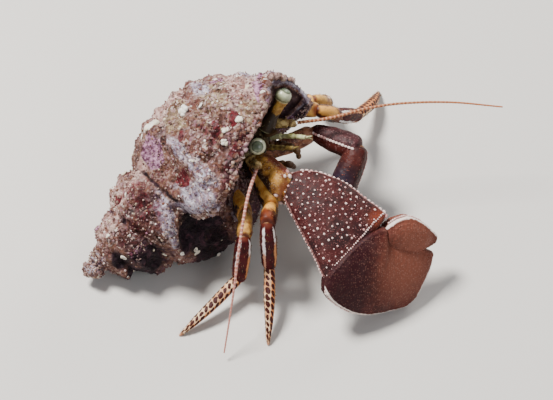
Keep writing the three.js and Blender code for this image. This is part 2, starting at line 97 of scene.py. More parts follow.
def eased(table: Table, keys: Array) -> Array:
    """Smooth values between the rows of a table, without overshoot.

    Args:
        table: Rows of a key and one or more values, in rising order of the key.
        keys: Where the values are wanted.

    Returns:
        One value for each key, or one row of values where the table has several columns.
    """
    rows = np.array(table, float)
    places, gaps = rows[:, 0], np.diff(rows[:, 0])
    index = np.clip(np.searchsorted(places, keys) - 1, 0, len(gaps) - 1)
    share = np.clip((keys - places[index]) / gaps[index], 0, 1)
    square, cube = share**2, share**3
    before, after = 2 * gaps[1:] + gaps[:-1], gaps[1:] + 2 * gaps[:-1]
    columns = []
    for values in rows[:, 1:].T:
        slope = np.diff(values) / gaps
        tangent = np.concatenate([slope[:1], np.zeros(len(slope) - 1), slope[-1:]])
        same = slope[:-1] * slope[1:] > 0
        safe = np.where(same, slope[:-1], 1), np.where(same, slope[1:], 1)
        mean = (before + after) / (before / safe[0] + after / safe[1])
        tangent[1:-1] = np.where(same, mean, 0)
        columns.append(
            values[index] * (2 * cube - 3 * square + 1)
            + values[index + 1] * (3 * square - 2 * cube)
            + tangent[index] * gaps[index] * (cube - 2 * square + share)
            + tangent[index + 1] * gaps[index] * (cube - square)
        )
    return columns[0] if len(columns) == 1 else np.stack(columns, -1)


def smooth_line(points: Array, count: int) -> Array:
    """Points evenly spaced on a smooth line through a few given points.

    Args:
        points: The points that the line goes through.
        count: How many points are wanted.

    Returns:
        An array of count points.
    """
    ends = [2 * points[0] - points[1], *points, 2 * points[-1] - points[-2]]
    share = np.linspace(0, 1, 24, endpoint=False)[:, None]
    fine = [0.5 * (
        2 * start
        + (stop - first) * share
        + (2 * first - 5 * start + 4 * stop - last) * share**2
        + (3 * start - first - 3 * stop + last) * share**3
    ) for first, start, stop, last in zip(ends, ends[1:], ends[2:], ends[3:])]
    line = np.concatenate([*fine, [points[-1]]])
    length = travelled(line)
    wanted = np.linspace(0, length[-1], count)
    return np.stack([np.interp(wanted, length, column) for column in line.T], -1)


def fade(values: Array, start: float, stop: float) -> Array:
    """0 at start and 1 at stop, smooth between them and flat beyond."""
    share = np.clip((values - start) / (stop - start), 0, 1)
    return share * share * (3 - 2 * share)


def rounded(share: Array, start: float, stop: float, width: float) -> Array:
    """Size factor from 0 at either end to 1, which rounds the ends off over a width."""
    inward = np.minimum(share - start, stop - share) / width
    return np.sqrt(np.clip(1 - (1 - np.clip(inward, 0, 1)) ** 2, 0, 1))


class Noise:
    """Smooth and cellular random values in space, which come back after a number of cells."""

    CELLS = 512

    def __init__(self, seed: int) -> None:
        """Draws the random tables.

        Args:
            seed: Seed of the draw.
        """
        draw, count = np.random.default_rng(seed), self.CELLS
        self.order = draw.permutation(count)
        self.values = draw.uniform(-1, 1, count)
        self.shifts = draw.uniform(0.15, 0.85, (count, 3))

    def key(self, cell: Array) -> Array:
        """Mixes the coordinates of cells.

        Args:
            cell: Whole coordinates.

        Returns:
            A place in the tables for each cell.
        """
        mixed = 0
        for axis in range(3):
            mixed = self.order[(mixed + cell[..., axis]) % self.CELLS]
        return mixed

    def smooth(self, points: Array, size: float) -> Array:
        """Smooth values from -1 to 1.

        Args:
            points: Places.
            size: Width of one bump.

        Returns:
            One value for each place.
        """
        place = points / size
        cell = np.floor(place).astype(int)
        share = place - cell
        share = share**3 * (share * (share * 6 - 15) + 10)
        total = np.zeros(len(points))
        for corner in np.ndindex(2, 2, 2):
            weight = np.prod(np.where(corner, share, 1 - share), axis=-1)
            total += weight * self.values[self.key(cell + corner)]
        return total

    def fractal(self, points: Array, size: float, octaves: int = 4) -> Array:
        """Smooth values with finer and weaker bumps added, from about -1 to 1.

        Args:
            points: Places.
            size: Width of the largest bumps.
            octaves: How many sizes of bump there are, each half the one before.

        Returns:
            One value for each place.
        """
        return sum(
            self.smooth(points + 37.7 * octave, size / 2**octave) / 2**octave
            for octave in range(octaves)) / 1.4

    def grains(self, points: Array, size: float) -> tuple[Array, Array]:
        """Packed grains.

        Args:
            points: Places.
            size: Spacing of the grains.

        Returns:
            Height from 0 between grains to 1 on top of one, and a random value per grain.
        """
        place = points / size
        cell = np.floor(place).astype(int)
        nearest = np.full(len(points), 9.0)
        value = np.zeros(len(points))
        for step in np.ndindex(3, 3, 3):
            near = cell + np.array(step) - 1
            key = self.key(near)
            gap = np.linalg.norm(near + self.shifts[key] - place, axis=-1)
            closer = gap < nearest
            nearest = np.where(closer, gap, nearest)
            value = np.where(closer, self.values[key], value)
        return np.clip(1 - nearest**2 * 1.6, 0, 1), value


# ---- surfaces


@dataclass
class Surface:
    """Points and faces in millimetres, with masks, which are named values at each point.

    Each array of faces holds those of one number of corners; slot is the index of their material.
    """

    points: Array
    faces: list[Array]
    masks: dict[str, Array] = field(default_factory=dict)
    slot: int = 0

    @classmethod
    def from_rings(cls, points: Array, rows: int, masks: dict[str, Array] | None = None) -> "Surface":
        """A closed tube through rings of points, with a fan over each end.

        Args:
            points: Points of every ring, one ring after the other.
            rows: Number of rings.
            masks: Values at the same points.

        Returns:
            The closed surface with its faces turned outwards.
        """
        sides = points.size // 3 // rows

        def closed(values: Array) -> Array:
            """Values with their means over the two end rings added."""
            ends = values.reshape(rows, sides, -1)[[0, -1]].mean(axis=1)
            return np.concatenate([values.reshape(rows * sides, -1), ends]).squeeze()

        index = np.arange(rows * sides).reshape(rows, sides)
        after = np.roll(index, -1, axis=1)
        quads = np.stack([index[:-1], after[:-1], after[1:], index[1:]], -1).reshape(-1, 4)
        first = np.stack([after[0], index[0], np.full(sides, rows * sides)], -1)
        last = np.stack([index[-1], after[-1], np.full(sides, rows * sides + 1)], -1)
        faces = [quads, first, last]
        flat = points.reshape(-1, 3)
        corners = (flat[quads] - flat.mean(axis=0)).swapaxes(0, 1)
        if np.sum(corners[0] * np.cross(corners[2], corners[3] - corners[1])) < 0:
            faces = [block[:, ::-1] for block in faces]
        return cls(closed(points), faces, {
            name: closed(mask) for name, mask in (masks or {}).items()})

    @staticmethod
    def joined(parts: list["Surface"]) -> "Surface":
        """Several surfaces as one.

        Args:
            parts: The surfaces.

        Returns:
            One surface; a mask that a part hasn't got is 0 there.
        """
        starts = np.cumsum([0, *(len(part.points) for part in parts)])
        shapes = {name: mask.shape[1:] for part in parts for name, mask in part.masks.items()}
        masks = {name: np.concatenate([
            part.masks.get(name, np.zeros((len(part.points), *shape))) for part in parts
        ]) for name, shape in shapes.items()}
        faces = [block + start for part, start in zip(parts, starts) for block in part.faces]
        return Surface(np.concatenate([part.points for part in parts]), faces, masks)


def wrapped(angle: Array, wide: Array, high: Array, along: Array, share: Array) -> dict[str, Array]:
    """Masks of places round a limb: chart in millimetres, and compass of angle and share."""
    sine, cosine = np.sin(angle), np.cos(angle)
    return {"chart": np.stack([sine * wide, cosine * high, along], -1),
            "compass": np.stack([cosine, sine, share], -1)}


def tube(line: Array, radii: Array, sides: int, upright: Array) -> Surface:
    """A closed tube along a line.

    Args:
        line: Points of the middle.
        radii: Radius at each point.
        sides: Corners of each ring.
        upright: Direction that the rings' first corner leans to.

    Returns:
        The tube, with the masks chart and compass.
    """
    forward = unit(np.gradient(line, axis=0))
    across = unit(np.cross(forward, upright))
    up = np.cross(across, forward)
    along, angle = grid(travelled(line), circle(sides))
    reach = np.repeat(radii, sides)
    row = np.repeat(np.arange(len(line)), sides)
    points = line[row] + reach[:, None] * (
        across[row] * np.sin(angle)[:, None] + up[row] * np.cos(angle)[:, None])
    masks = wrapped(angle, reach, reach, along, along / along[-1])
    return Surface.from_rings(points, len(line), masks)


def jointed(points: Iterable[Array], first: float, last: float, joints: tuple[float, ...],
            sides: int, upright: Array, rows: int = 90) -> Surface:
    """A tapered tube with narrow joints along it.

    Args:
        points: Points of its middle line.
        first: Radius at its start.
        last: Radius at its end.
        joints: Shares of the length at which it is narrow.
        sides: Points of each ring.
        upright: Direction that its rings' first corner leans to.
        rows: Number of rings.

    Returns:
        The tube.
    """
    share = np.linspace(0, 1, rows)
    radii = first + (last - first) * share
    for joint in joints:
        radii = radii * (1 - 0.3 * np.exp(-((share - joint) / 0.025) ** 2))
        radii = radii * (1 + 0.14 * np.exp(-((share - joint + 0.06) / 0.04) ** 2))
    radii = radii * np.maximum(rounded(share, 0, 1, 0.05), 0.02)
    return tube(smooth_line(np.array(points), rows), radii, sides, upright)


def beads(sites: Array, normals: Array, size: Array, shape: Iterable[float] | Array = (1, 1, 1),
          lean: Array | None = None, level: int = 2, rough: float = 0.0, seed: int = 0) -> Surface:
    """Small rounded lumps set on a surface, as one mesh.

    Args:
        sites: Centres of the lumps.
        normals: Direction that each stands in.
        size: Size of each.
        shape: Half width, half length and height for a size of 1.
        lean: Direction of each lump's length; any direction where it is None.
        level: How finely each is divided.
        rough: How uneven the lumps are, as a share of their size.
        seed: Seed of the unevenness.

    Returns:
        One surface, with the masks crown, which rises to 1 on top, and tone, random by lump.
    """
    maker = bmesh.new()
    bmesh.ops.create_icosphere(maker, subdivisions=level, radius=1)
    ball = np.array([vertex.co[:] for vertex in maker.verts])
    faces = np.array([[vertex.index for vertex in face.verts] for face in maker.faces])
    maker.free()
    draw, count = np.random.default_rng(seed), len(sites)
    if lean is None:
        lean = draw.normal(size=(count, 3))
    side = unit(np.cross(normals, lean))
    ways = np.stack([side, np.cross(side, normals), np.broadcast_to(normals, side.shape)], 1)
    ways = ways * (size[:, None] * np.array(shape))[..., None]
    lump = np.broadcast_to(ball, (count, *ball.shape))
    if rough:
        lump = lump * (1 + rough * draw.uniform(-1, 1, (count, len(ball), 1)))
    tone = np.repeat(draw.uniform(0, 1, count), len(ball))
    index = faces[None] + (np.arange(count) * len(ball))[:, None, None]
    return Surface((sites[:, None] + lump @ ways).reshape(-1, 3), [index.reshape(-1, 3)],
                   {"tone": tone, "crown": np.tile((ball[:, 2] + 1) / 2, count)})


# ---- node trees


class Wire:
    """A value in a tree of shader nodes, which sums can be done with."""

    def __init__(self, graph: "Graph", socket: bpy.types.NodeSocket) -> None:
        """Takes an output of a node and the graph that it is in."""
        self.graph, self.socket = graph, socket

    def __add__(self, other: object) -> "Wire":
        """Both values together."""
        return self.graph.maths("ADD", self, other)

    def __sub__(self, other: object) -> "Wire":
        """This value less another."""
        return self.graph.maths("SUBTRACT", self, other)

    def __rsub__(self, other: object) -> "Wire":
        """Another value less this one."""
        return self.graph.maths("SUBTRACT", other, self)

    def __mul__(self, other: object) -> "Wire":
        """The product of both values."""
        return self.graph.maths("MULTIPLY", self, other)

    def clamped(self) -> "Wire":
        """The result of a sum, kept between 0 and 1."""
        self.socket.node.use_clamp = True
        return self


class Graph:
    """Short hand for building a tree of shader nodes."""

    def __init__(self, tree: bpy.types.NodeTree, place: bpy.types.NodeSocket | None = None) -> None:
        """Takes the tree.

        Args:
            tree: Tree of a material or a group.
            place: Coordinates in millimetres, where they come from outside.
        """
        self.tree, self.place = tree, Wire(self, place)
        if place is None:
            own = self.wire("Object", "TexCoord", {})
            self.place = self.wire(0, "VectorMath", {0: own, 3: 1 / MILLIMETRE}, operation="SCALE")

    def add(self, kind: str, inputs: dict[str | int, object], **settings: object) -> bpy.types.Node:
        """A new node.

        Args:
            kind: Type of the node, less the word ShaderNode.
            inputs: Wires, numbers, vectors or colours by the name or number of an input.
            **settings: Properties of the node.

        Returns:
            The node.
        """
        node = self.tree.nodes.new(f"ShaderNode{kind}")
        for name, value in settings.items():
            setattr(node, name, value)
        for name, value in inputs.items():
            socket = node.inputs[name]
            if isinstance(value, Wire):
                self.tree.links.new(value.socket, socket)
            else:
                socket.default_value = linear(value) if socket.type == "RGBA" else value
        return node

    def wire(self, output: str | int, kind: str, inputs: dict[str | int, object],
             **settings: object) -> Wire:
        """One output of a new node."""
        return Wire(self, self.add(kind, inputs, **settings).outputs[output])

    def mask(self, name: str) -> Wire:
        """A named value of the mesh."""
        return self.wire("Fac", "Attribute", {}, attribute_name=name)

    def vector(self, name: str) -> Wire:
        """A named vector of the mesh."""
        return self.wire("Vector", "Attribute", {}, attribute_name=name)

    def parts(self, vector: Wire, kind: str = "XYZ") -> list[Wire]:
        """The three numbers of a vector or a colour."""
        node = self.add(f"Separate{kind}", {0: vector})
        return [Wire(self, socket) for socket in node.outputs]

    def noise(self, size: float, detail: float = 3.0, distortion: float = 0.0,
              place: Wire | None = None) -> Wire:
        """Smooth noise from 0 to 1 with bumps of a given size."""
        return self.wire("Fac", "TexNoise", {
            "Vector": place or self.place, "Scale": 1 / size, "Detail": detail,
            "Distortion": distortion})

    def cells(self, scale: object, randomness: float) -> bpy.types.Node:
        """A pattern of cells."""
        return self.add("TexVoronoi", {
            "Vector": self.place, "Scale": scale, "Randomness": randomness})

    def maths(self, operation: str, first: object, second: object = 0.0) -> Wire:
        """Result of one sum."""
        return self.wire(0, "Math", {0: first, 1: second}, operation=operation)

    def between(self, value: object, low: float, high: float) -> Wire:
        """0 where a value is at low and 1 where it is at high, smooth between them."""
        return self.wire(0, "MapRange", {
            "Value": value, "From Min": low, "From Max": high}, interpolation_type="SMOOTHSTEP")

    def mix(self, share: object, first: object, second: object, blend: str = "MIX") -> Wire:
        """One colour laid over another."""
        return self.wire(2, "Mix", {0: share, 6: first, 7: second},
                         data_type="RGBA", blend_type=blend)

    def ramp(self, value: object, *stops: tuple[float, int, int, int]) -> Wire:
        """A colour scale.

        Args:
            value: Where on the scale.
            *stops: Places, each with a colour, in rising order.

        Returns:
            The colour.
        """
        node = self.add("ValToRGB", {0: value})
        scale = node.color_ramp.elements
        while len(scale) < len(stops):
            scale.new(0.5)
        for mark, (place, *colour) in zip(scale, stops):
            mark.position, mark.color = place, linear(colour)
        return Wire(self, node.outputs["Color"])


def linear(colour: Iterable[int]) -> tuple[float, ...]:
    """A colour made linear, with full cover."""
    shares = [amount / 255 for amount in colour]
    return *(share / 12.92 if share <= 0.04045 else ((share + 0.055) / 1.055) ** 2.4
             for share in shares), 1.0


@dataclass
class Effect:
    """A shader group that several finishes share, built when it is first used.

    Fill takes a wire for each of the inputs and gives one for each of the outputs, which are kinds of
    sockets by name. The place is one more input.
    """

    name: str
    fill: Callable[..., tuple[Wire, ...]]
    inputs: dict[str, str]
    outputs: dict[str, str]

    @cached_property
    def tree(self) -> bpy.types.NodeTree:
        """Builds the group.

        Returns:
            The tree of its nodes.
        """
        tree = bpy.data.node_groups.new(self.name, "ShaderNodeTree")
        ways = ("INPUT", {"Vector": "Vector", **self.inputs}), ("OUTPUT", self.outputs)
        for way, sockets in ways:
            for label, kind in sockets.items():
                tree.interface.new_socket(label, in_out=way, socket_type=f"NodeSocket{kind}")
        given = tree.nodes.new("NodeGroupInput").outputs
        graph = Graph(tree, given["Vector"])
        made = self.fill(graph, *(Wire(graph, given[label]) for label in self.inputs))
        sink = tree.nodes.new("NodeGroupOutput")
        for label, wire in zip(self.outputs, made):
            tree.links.new(wire.socket, sink.inputs[label])
        return tree

    def use(self, graph: Graph, *values: object) -> list[Wire]:
        """Places the group in a material.

        Args:
            graph: Where it is placed.
            *values: Wires or values of the inputs.

        Returns:
            The group's outputs.
        """
        inputs = {"Vector": graph.place, **dict(zip(self.inputs, values))}
        node = graph.add("Group", inputs, node_tree=self.tree)
        return [Wire(graph, socket) for socket in node.outputs]


def mottled(graph: Graph, density: Wire, dark: Wire, light: Wire) -> tuple[Wire, Wire]:
    """Two colours that drift into each other.

    Args:
        graph: Inside of the group.
        density: Patches for each millimetre.
        dark: One colour.
        light: The other colour.

    Returns:
        The colour, and the share of the light one.
    """
    broad = graph.wire("Fac", "TexNoise", {
        "Vector": graph.place, "Scale": density, "Detail": 5.0, "Roughness": 0.62})
    share = graph.between(broad, 0.36, 0.64)
    return graph.mix(share, dark, light), share


def granular(graph: Graph, density: Wire, cover: Wire) -> tuple[Wire, Wire]:
    """Fine round granules of uneven size.

    Args:
        graph: Inside of the group.
        density: Granules for each millimetre.
        cover: Share of the surface that they take.

    Returns:
        Their mask and their height.
    """
    cells = graph.cells(density, 0.8)
    spread = graph.parts(Wire(graph, cells.outputs["Color"]), "Color")[0]
    reach = graph.maths("MAXIMUM", (spread + 0.5) * cover, 0.01)
    height = (1.0 - graph.maths("DIVIDE", Wire(graph, cells.outputs["Distance"]), reach)).clamped()
    return graph.between(height, 0.02, 0.5), graph.maths("POWER", height, 0.6)


def settled(graph: Graph, density: Wire, amount: Wire) -> tuple[Wire]:
    """A pale film that settles in patches on what faces upwards.

    Args:
        graph: Inside of the group.
        density: Patches for each millimetre.
        amount: Share of the film.

    Returns:
        Its mask.
    """
    upward = graph.parts(graph.wire("Normal", "NewGeometry", {}))[2]
    patches = graph.wire("Fac", "TexNoise", {
        "Vector": graph.place, "Scale": density, "Detail": 6.0, "Roughness": 0.7})
    film = graph.between(upward, 0.0, 0.9) * graph.between(patches, 0.45, 0.7)
    return (film * amount).clamped(),


MOTTLE = Effect("Mottled pigment", mottled, {"Density": "Float", "Dark": "Color", "Light": "Color"},
                {"Color": "Color", "Mask": "Float"})
GRANULES = Effect("Fine granules", granular, {"Density": "Float", "Cover": "Float"},
                  {"Mask": "Float", "Height": "Float"})
SILT = Effect("Settled film", settled, {"Density": "Float", "Amount": "Float"}, {"Mask": "Float"})


# ---- finishes


class Slot(Enum):
    """Material slots of the record, one of which each finish holds."""

    SHELL = "shell_crust"
    CLAW = "claw_cuticle"
    LEG = "leg_cuticle"
    BODY = "body_cuticle"
    EYE = "cornea"
    FEELER = "feeler"


class Mark(StrEnum):
    """What grows on a patch of the shell; the last member instead marks painted shade in hollows and
    sutures.
    """

    BUFF = auto()
    OLIVE = auto()
    PALE = auto()
    ALGAE = auto()
    MAROON = auto()
    ROSY = auto()
    SAND = auto()
    PIT = auto()


Painted = tuple[Wire, Wire, float, float]


@dataclass(frozen=True)
class Finish:
    """What every finish has: its name, the record's slot, and how rough, shiny and wet it is."""

    name: str
    slot: Slot
    roughness: float = 0.5
    specular: float = 0.4
    coat: float = 0.0

    def paint(self, graph: Graph) -> Painted:
        """Colour, height of the bumps, their depth in millimetres and their strength."""
        raise NotImplementedError

    @cache
    def material(self) -> bpy.types.Material:
        """Builds the material when it is first asked for.

        Returns:
            The finished material.
        """
        material = bpy.data.materials.new(self.name)
        material.use_nodes = True
        material.node_tree.nodes.clear()
        graph = Graph(material.node_tree)
        colour, height, depth, strength = self.paint(graph)
        shader = graph.add("BsdfPrincipled", {
            "Base Color": colour,
            "Roughness": (graph.noise(1.7, 4) * 0.3 + (self.roughness - 0.15)).clamped(),
            "Specular IOR Level": self.specular,
            "Coat Weight": self.coat,
            "Coat Roughness": 0.22,
            "Normal": graph.wire("Normal", "Bump", {
                "Height": height, "Distance": depth * MILLIMETRE, "Strength": strength}),
        })
        graph.add("OutputMaterial", {"Surface": Wire(graph, shader.outputs[0])})
        return material


class CrustFinish(Finish):
    """The shell's outside: sand, limy crusts, algae and red patches, with painted shade in hollows, in
    sutures and on the undersides.
    """

    def paint(self, graph: Graph) -> Painted:
        """Paints the shell by the mask of every mark, and paints shade on the undersides by the mask
        under.

        Args:
            graph: The material's graph.

        Returns:
            What Finish.paint gives.
        """
        broad, patchy = graph.noise(4.5, 4, 0.6), graph.noise(1.5, 6, 0.8)
        mask = {mark: graph.mask(mark) for mark in Mark}
        ground = graph.ramp(
            broad * 0.5 + patchy * 0.5, (0.36, 28, 13, 16), (0.44, 76, 42, 40), (0.5, 120, 84, 66),
            (0.55, 88, 46, 48), (0.6, 134, 100, 88), (0.7, 184, 160, 150))
        for mark, dark, light in (
            (Mark.BUFF, (148, 106, 100), (214, 182, 172)),
            (Mark.OLIVE, (78, 54, 38), (166, 146, 116)),
            (Mark.PALE, (106, 90, 112), (204, 198, 212)),
        ):
            cover = graph.between(mask[mark] + patchy * 0.9, 0.6, 1.15)
            ground = graph.mix(cover, ground, MOTTLE.use(graph, 0.8, dark, light)[0])
        pick = graph.parts(Wire(graph, graph.cells(2.5, 1).outputs["Color"]), "Color")
        speckles = graph.ramp(
            pick[0], (0, 20, 10, 10), (0.2, 88, 44, 38), (0.36, 138, 96, 78), (0.52, 66, 30, 36),
            (0.66, 180, 158, 146), (0.8, 152, 104, 122), (1, 226, 216, 204))
        gritty = graph.between(pick[1], 0.3, 0.45) * (mask[Mark.SAND] * 0.55 + 0.25)
        ground = graph.mix(gritty, ground, speckles)
        lilac = graph.between(mask[Mark.ALGAE] + patchy, 0.86, 1.06)
        ground = graph.mix(lilac, ground, MOTTLE.use(graph, 1.4, (78, 38, 60), (192, 142, 172))[0])
        red = graph.between(mask[Mark.MAROON] * 0.5 + graph.noise(2.2, 5, 1.2), 0.66, 0.82)
        ground = graph.mix(red, ground, graph.ramp(
            graph.noise(0.5), (0.3, 34, 6, 12), (0.55, 98, 20, 30), (0.8, 124, 60, 62)))
        rosy = mask[Mark.ROSY] * graph.between(patchy, 0.3, 0.6)
        ground = graph.mix(rosy, ground, (146, 80, 92), "MULTIPLY")
        ground = graph.mix(SILT.use(graph, 0.7, 0.22)[0], ground, (190, 172, 172))
        # Painted shade: where the mask under is high, the crust goes towards a dark purple-brown.
        shade = graph.mask("under") + (patchy - 0.5) * 1.2
        painted_underside_shade = graph.ramp(patchy, (0.4, 34, 16, 28), (0.6, 84, 50, 62))
        ground = graph.mix(graph.between(shade, 0.2, 1) * 0.85, ground, painted_underside_shade)
        # Painted shade: hollows, sutures and the far lip go almost black.
        pit_shade = (mask[Mark.PIT] + (patchy - 0.5) * 1.6).clamped()
        ground = graph.mix(graph.between(pit_shade, 0.1, 0.9), ground, graph.ramp(
            patchy, (0.35, 12, 5, 9), (0.55, 34, 17, 26), (0.7, 66, 38, 48)))
        height = GRANULES.use(graph, 3.2, 0.6)[1] * 0.5 + graph.noise(0.35, 6)
        return ground, height, 0.2, 0.9


class NacreFinish(Finish):
    """The smooth inside of the shell's mouth, paler at the lip, with painted shade that darkens it
    further in.
    """

    def paint(self, graph: Graph) -> Painted:
        """Reads the mask inward, by which shade is painted further into the mouth."""
        clean = MOTTLE.use(graph, 0.3, (58, 34, 40), (132, 104, 104))[0]
        # Painted shade: further into the mouth, the colour goes towards near black.
        depth = graph.between(graph.mask("inward"), 0.02, 0.5)
        return graph.mix(depth, clean, (26, 12, 18)), graph.noise(2, 4), 0.15, 1


@dataclass(frozen=True)
class Stripe:
    """A band along a limb, in degrees from its upper edge and shares of its length.

    Soft is the width in radians over which its edges fade.
    """

    angle: float
    half_width: float
    colour: Colour
    soft: float = 0.12
    start: float = 0.0
    stop: float = 1.0


@dataclass(frozen=True)
class CuticleFinish(Finish):
    """Hard skin of a limb: mottled, with bands along it, spots and fine granules.

    Density counts patches of pigment in a millimetre, and later stripes lie on top of earlier ones.
    Each of the rows of spots round the limb has one to a pitch in millimetres. Joint colours both
    ends, cover is the share of the surface that granules take, and relief the height of the bumps.
    """

    dark: Colour = (89, 89, 89)
    light: Colour = (149, 149, 149)
    density: float = 0.7
    stripes: tuple[Stripe, ...] = ()
    spots: Colour | None = None
    spot_rows: int = 6
    spot_pitch: float = 1.08
    joint: Colour | None = None
    granule: Colour = (188, 170, 149)
    cover: float = 0.25
    relief: float = 0.07

    def striped(self, graph: Graph, colour: Wire) -> Wire:
        """Lays the bands over a colour.

        Args:
            graph: The material's graph.
            colour: What lies under the bands.

        Returns:
            The banded colour.
        """
        compass, wavy = graph.vector("compass"), graph.noise(0.8, 4) - 0.5
        share = graph.parts(compass)[2]
        for stripe in self.stripes:
            angle = math.radians(stripe.angle)
            ahead, beside = (graph.wire("Value", "VectorMath", {
                0: compass, 1: (math.cos(angle + turn), math.sin(angle + turn), 0),
            }, operation="DOT_PRODUCT") for turn in (0, math.pi / 2))
            away = graph.maths("ABSOLUTE", graph.maths("ARCTAN2", beside, ahead))
            away = away + wavy * (0.25 + stripe.soft * 2.4)
            edge, half = math.radians(stripe.half_width), stripe.soft / 2
            length = share + wavy * (0.1 + stripe.soft * 0.8)
            begun = graph.between(length, stripe.start, stripe.start + half)
            over = graph.between(length, stripe.stop - half, stripe.stop)
            band = (1 - graph.between(away, edge - half, edge + half)) * (begun * (1 - over))
            colour = graph.mix(band, colour, stripe.colour)
        return colour

    def spotted(self, graph: Graph, colour: Wire) -> Wire:
        """Lays rows of long dark spots over a colour.

        Args:
            graph: The material's graph.
            colour: What lies under the spots.

        Returns:
            The spotted colour.
        """
        cosine, sine, _ = graph.parts(graph.vector("compass"))
        chart = graph.vector("chart")
        wobble = graph.noise(0.9, 2, place=chart) - 0.5
        row = graph.maths("ARCTAN2", sine, cosine) * (self.spot_rows / (2 * math.pi)) + wobble * 0.5
        across, rank = graph.maths("FRACT", row), graph.maths("FLOOR", row)
        along = graph.maths("DIVIDE", graph.parts(chart)[2], self.spot_pitch)
        step = along + rank * 0.37 + (across + wobble) * 0.45
        cell = graph.wire(0, "CombineXYZ", {0: rank, 1: graph.maths("FLOOR", step)})
        chance = graph.wire("Value", "TexWhiteNoise", {0: cell}, noise_dimensions="3D")
        offset = graph.wire(0, "CombineXYZ", {
            0: (across - 0.5) * 1.95, 1: (graph.maths("FRACT", step) - 0.5) * 2})
        gap = graph.wire("Value", "VectorMath", {0: offset}, operation="LENGTH")
        spot = graph.between(chance * 0.3 + 0.76 - gap, -0.04, 0.12)
        return graph.mix(spot, colour, self.spots)

    def paint(self, graph: Graph) -> Painted:
        """Paints a limb by the masks compass and chart.

        Args:
            graph: The material's graph.

        Returns:
            What Finish.paint gives.
        """
        colour = MOTTLE.use(graph, self.density, self.dark, self.light)[0]
        if self.stripes:
            colour = self.striped(graph, colour)
        if self.spots:
            colour = self.spotted(graph, colour)
        granules, height = GRANULES.use(graph, 2.6, self.cover)
        colour = graph.mix(granules * 0.35, colour, self.granule)
        if self.joint:
            share = graph.parts(graph.vector("compass"))[2]
            ends = graph.between(share, 0.94, 0.985) + (1 - graph.between(share, 0.02, 0.07))
            colour = graph.mix(ends, colour, self.joint)
        return colour, height * 0.7 + graph.noise(0.5, 5), self.relief, 0.8


@dataclass(frozen=True)
class PlateFinish(Finish):
    """Hard skin of a claw's broad plates, with granules, a pale rim, a patch of painted lighting, and
    painted shadow at the near end where a base colour is given.

    Density counts granules in a millimetre, cover is the share of the surface that they take, and
    granule_share how strongly they show away from the patch of painted lighting that the field glow
    gives: painted light on the wrist and the big hand, painted shadow on the small hand. The base
    colour is painted shadow cast by the wrist, and reaches shadow_reach from the near end, in
    millimetres like rim_width.
    """

    dark: Colour = (89, 89, 89)
    light: Colour = (149, 149, 149)
    rim: Colour = (231, 218, 203)
    rim_width: float = 0.4
    granule: Colour = (188, 170, 149)
    granule_share: float = 0.7
    density: float = 2.0
    cover: float = 0.4
    base: Colour | None = None
    shadow_reach: float = 3.0
    glow: Colour = (170, 124, 89)

    def paint(self, graph: Graph) -> Painted:
        """Paints a plate by the masks margin, glow and chart; the glow mask places the patch of painted
        lighting.

        Args:
            graph: The material's graph.

        Returns:
            What Finish.paint gives.
        """
        colour = MOTTLE.use(graph, 0.35, self.dark, self.light)[0]
        _, upper, along = graph.parts(graph.vector("chart"))
        fine = graph.noise(0.6, 6)
        # Painted lighting: a soft patch stands in for light and shadow. It is lighter on the wrist and
        # the big hand, darker on the small hand, and granules show more inside it.
        glow = (graph.mask("glow") + (fine - 0.5) * 0.4).clamped()
        colour = graph.mix(graph.between(glow, 0, 1), colour, self.glow)
        # Painted shadow: the base colour darkens the near end of the plate, where the wrist's shadow
        # falls.
        if self.base:
            share = 1 - graph.between(along + fine * 1.5, 0.5, self.shadow_reach)
            colour = graph.mix(share, colour, self.base)
        granules, height = GRANULES.use(graph, self.density, self.cover)
        shown = granules * (glow * 0.5 + self.granule_share)
        colour = graph.mix(shown, colour, self.granule)
        colour = graph.mix(SILT.use(graph, 0.5, 0.04)[0], colour, (170, 150, 140))
        margin = graph.mask("margin") + (fine - 0.5) * 0.3
        rim = 1 - graph.between(margin, self.rim_width * 0.6, self.rim_width * 1.2)
        colour = graph.mix(rim * graph.between(upper, 0.1, 0.25), colour, self.rim)
        return colour, height * 0.8 + fine * 0.6, 0.1, 0.9


@dataclass(frozen=True)
class BeadFinish(Finish):
    """Pale limy beads and knobs, darker at the foot, some of them of another colour on top."""

    foot: Colour = (124, 108, 89)
    crown: Colour = (231, 225, 218)
    other: Colour = (203, 188, 170)

    def paint(self, graph: Graph) -> Painted:
        """Paints beads by the masks crown and tone.

        Args:
            graph: The material's graph.

        Returns:
            What Finish.paint gives.
        """
        body = graph.mix(graph.between(graph.mask("tone"), 0.3, 1), self.crown, self.other)
        dirt = graph.between(graph.noise(0.5, 5), 0.5, 0.75) * 0.5
        body = graph.mix(dirt, body, self.foot)
        colour = graph.mix(graph.between(graph.mask("crown"), 0.35, 0.72), self.foot, body)
        return colour, graph.noise(0.25, 4), 0.05, 1


class GritFinish(Finish):
    """Loose grains on the shell, each with a colour of its own."""

    def paint(self, graph: Graph) -> Painted:
        """Paints grains by the mask tone.

        Args:
            graph: The material's graph.

        Returns:
            What Finish.paint gives.
        """
        colour = graph.ramp(
            graph.mask("tone"), (0, 30, 14, 14), (0.2, 106, 54, 34), (0.36, 132, 98, 74),
            (0.52, 76, 36, 44), (0.68, 170, 150, 128), (0.84, 146, 98, 120), (1, 228, 218, 206))
        crust = MOTTLE.use(graph, 1.6, (80, 48, 46), (188, 158, 148))[0]
        colour = graph.mix(graph.between(graph.noise(0.9, 5), 0.4, 0.6), colour, crust)
        shade = graph.between(graph.noise(0.3, 4), 0.3, 0.8)
        return graph.mix(shade * 0.4, colour, (90, 66, 60)), shade, 0.04, 1


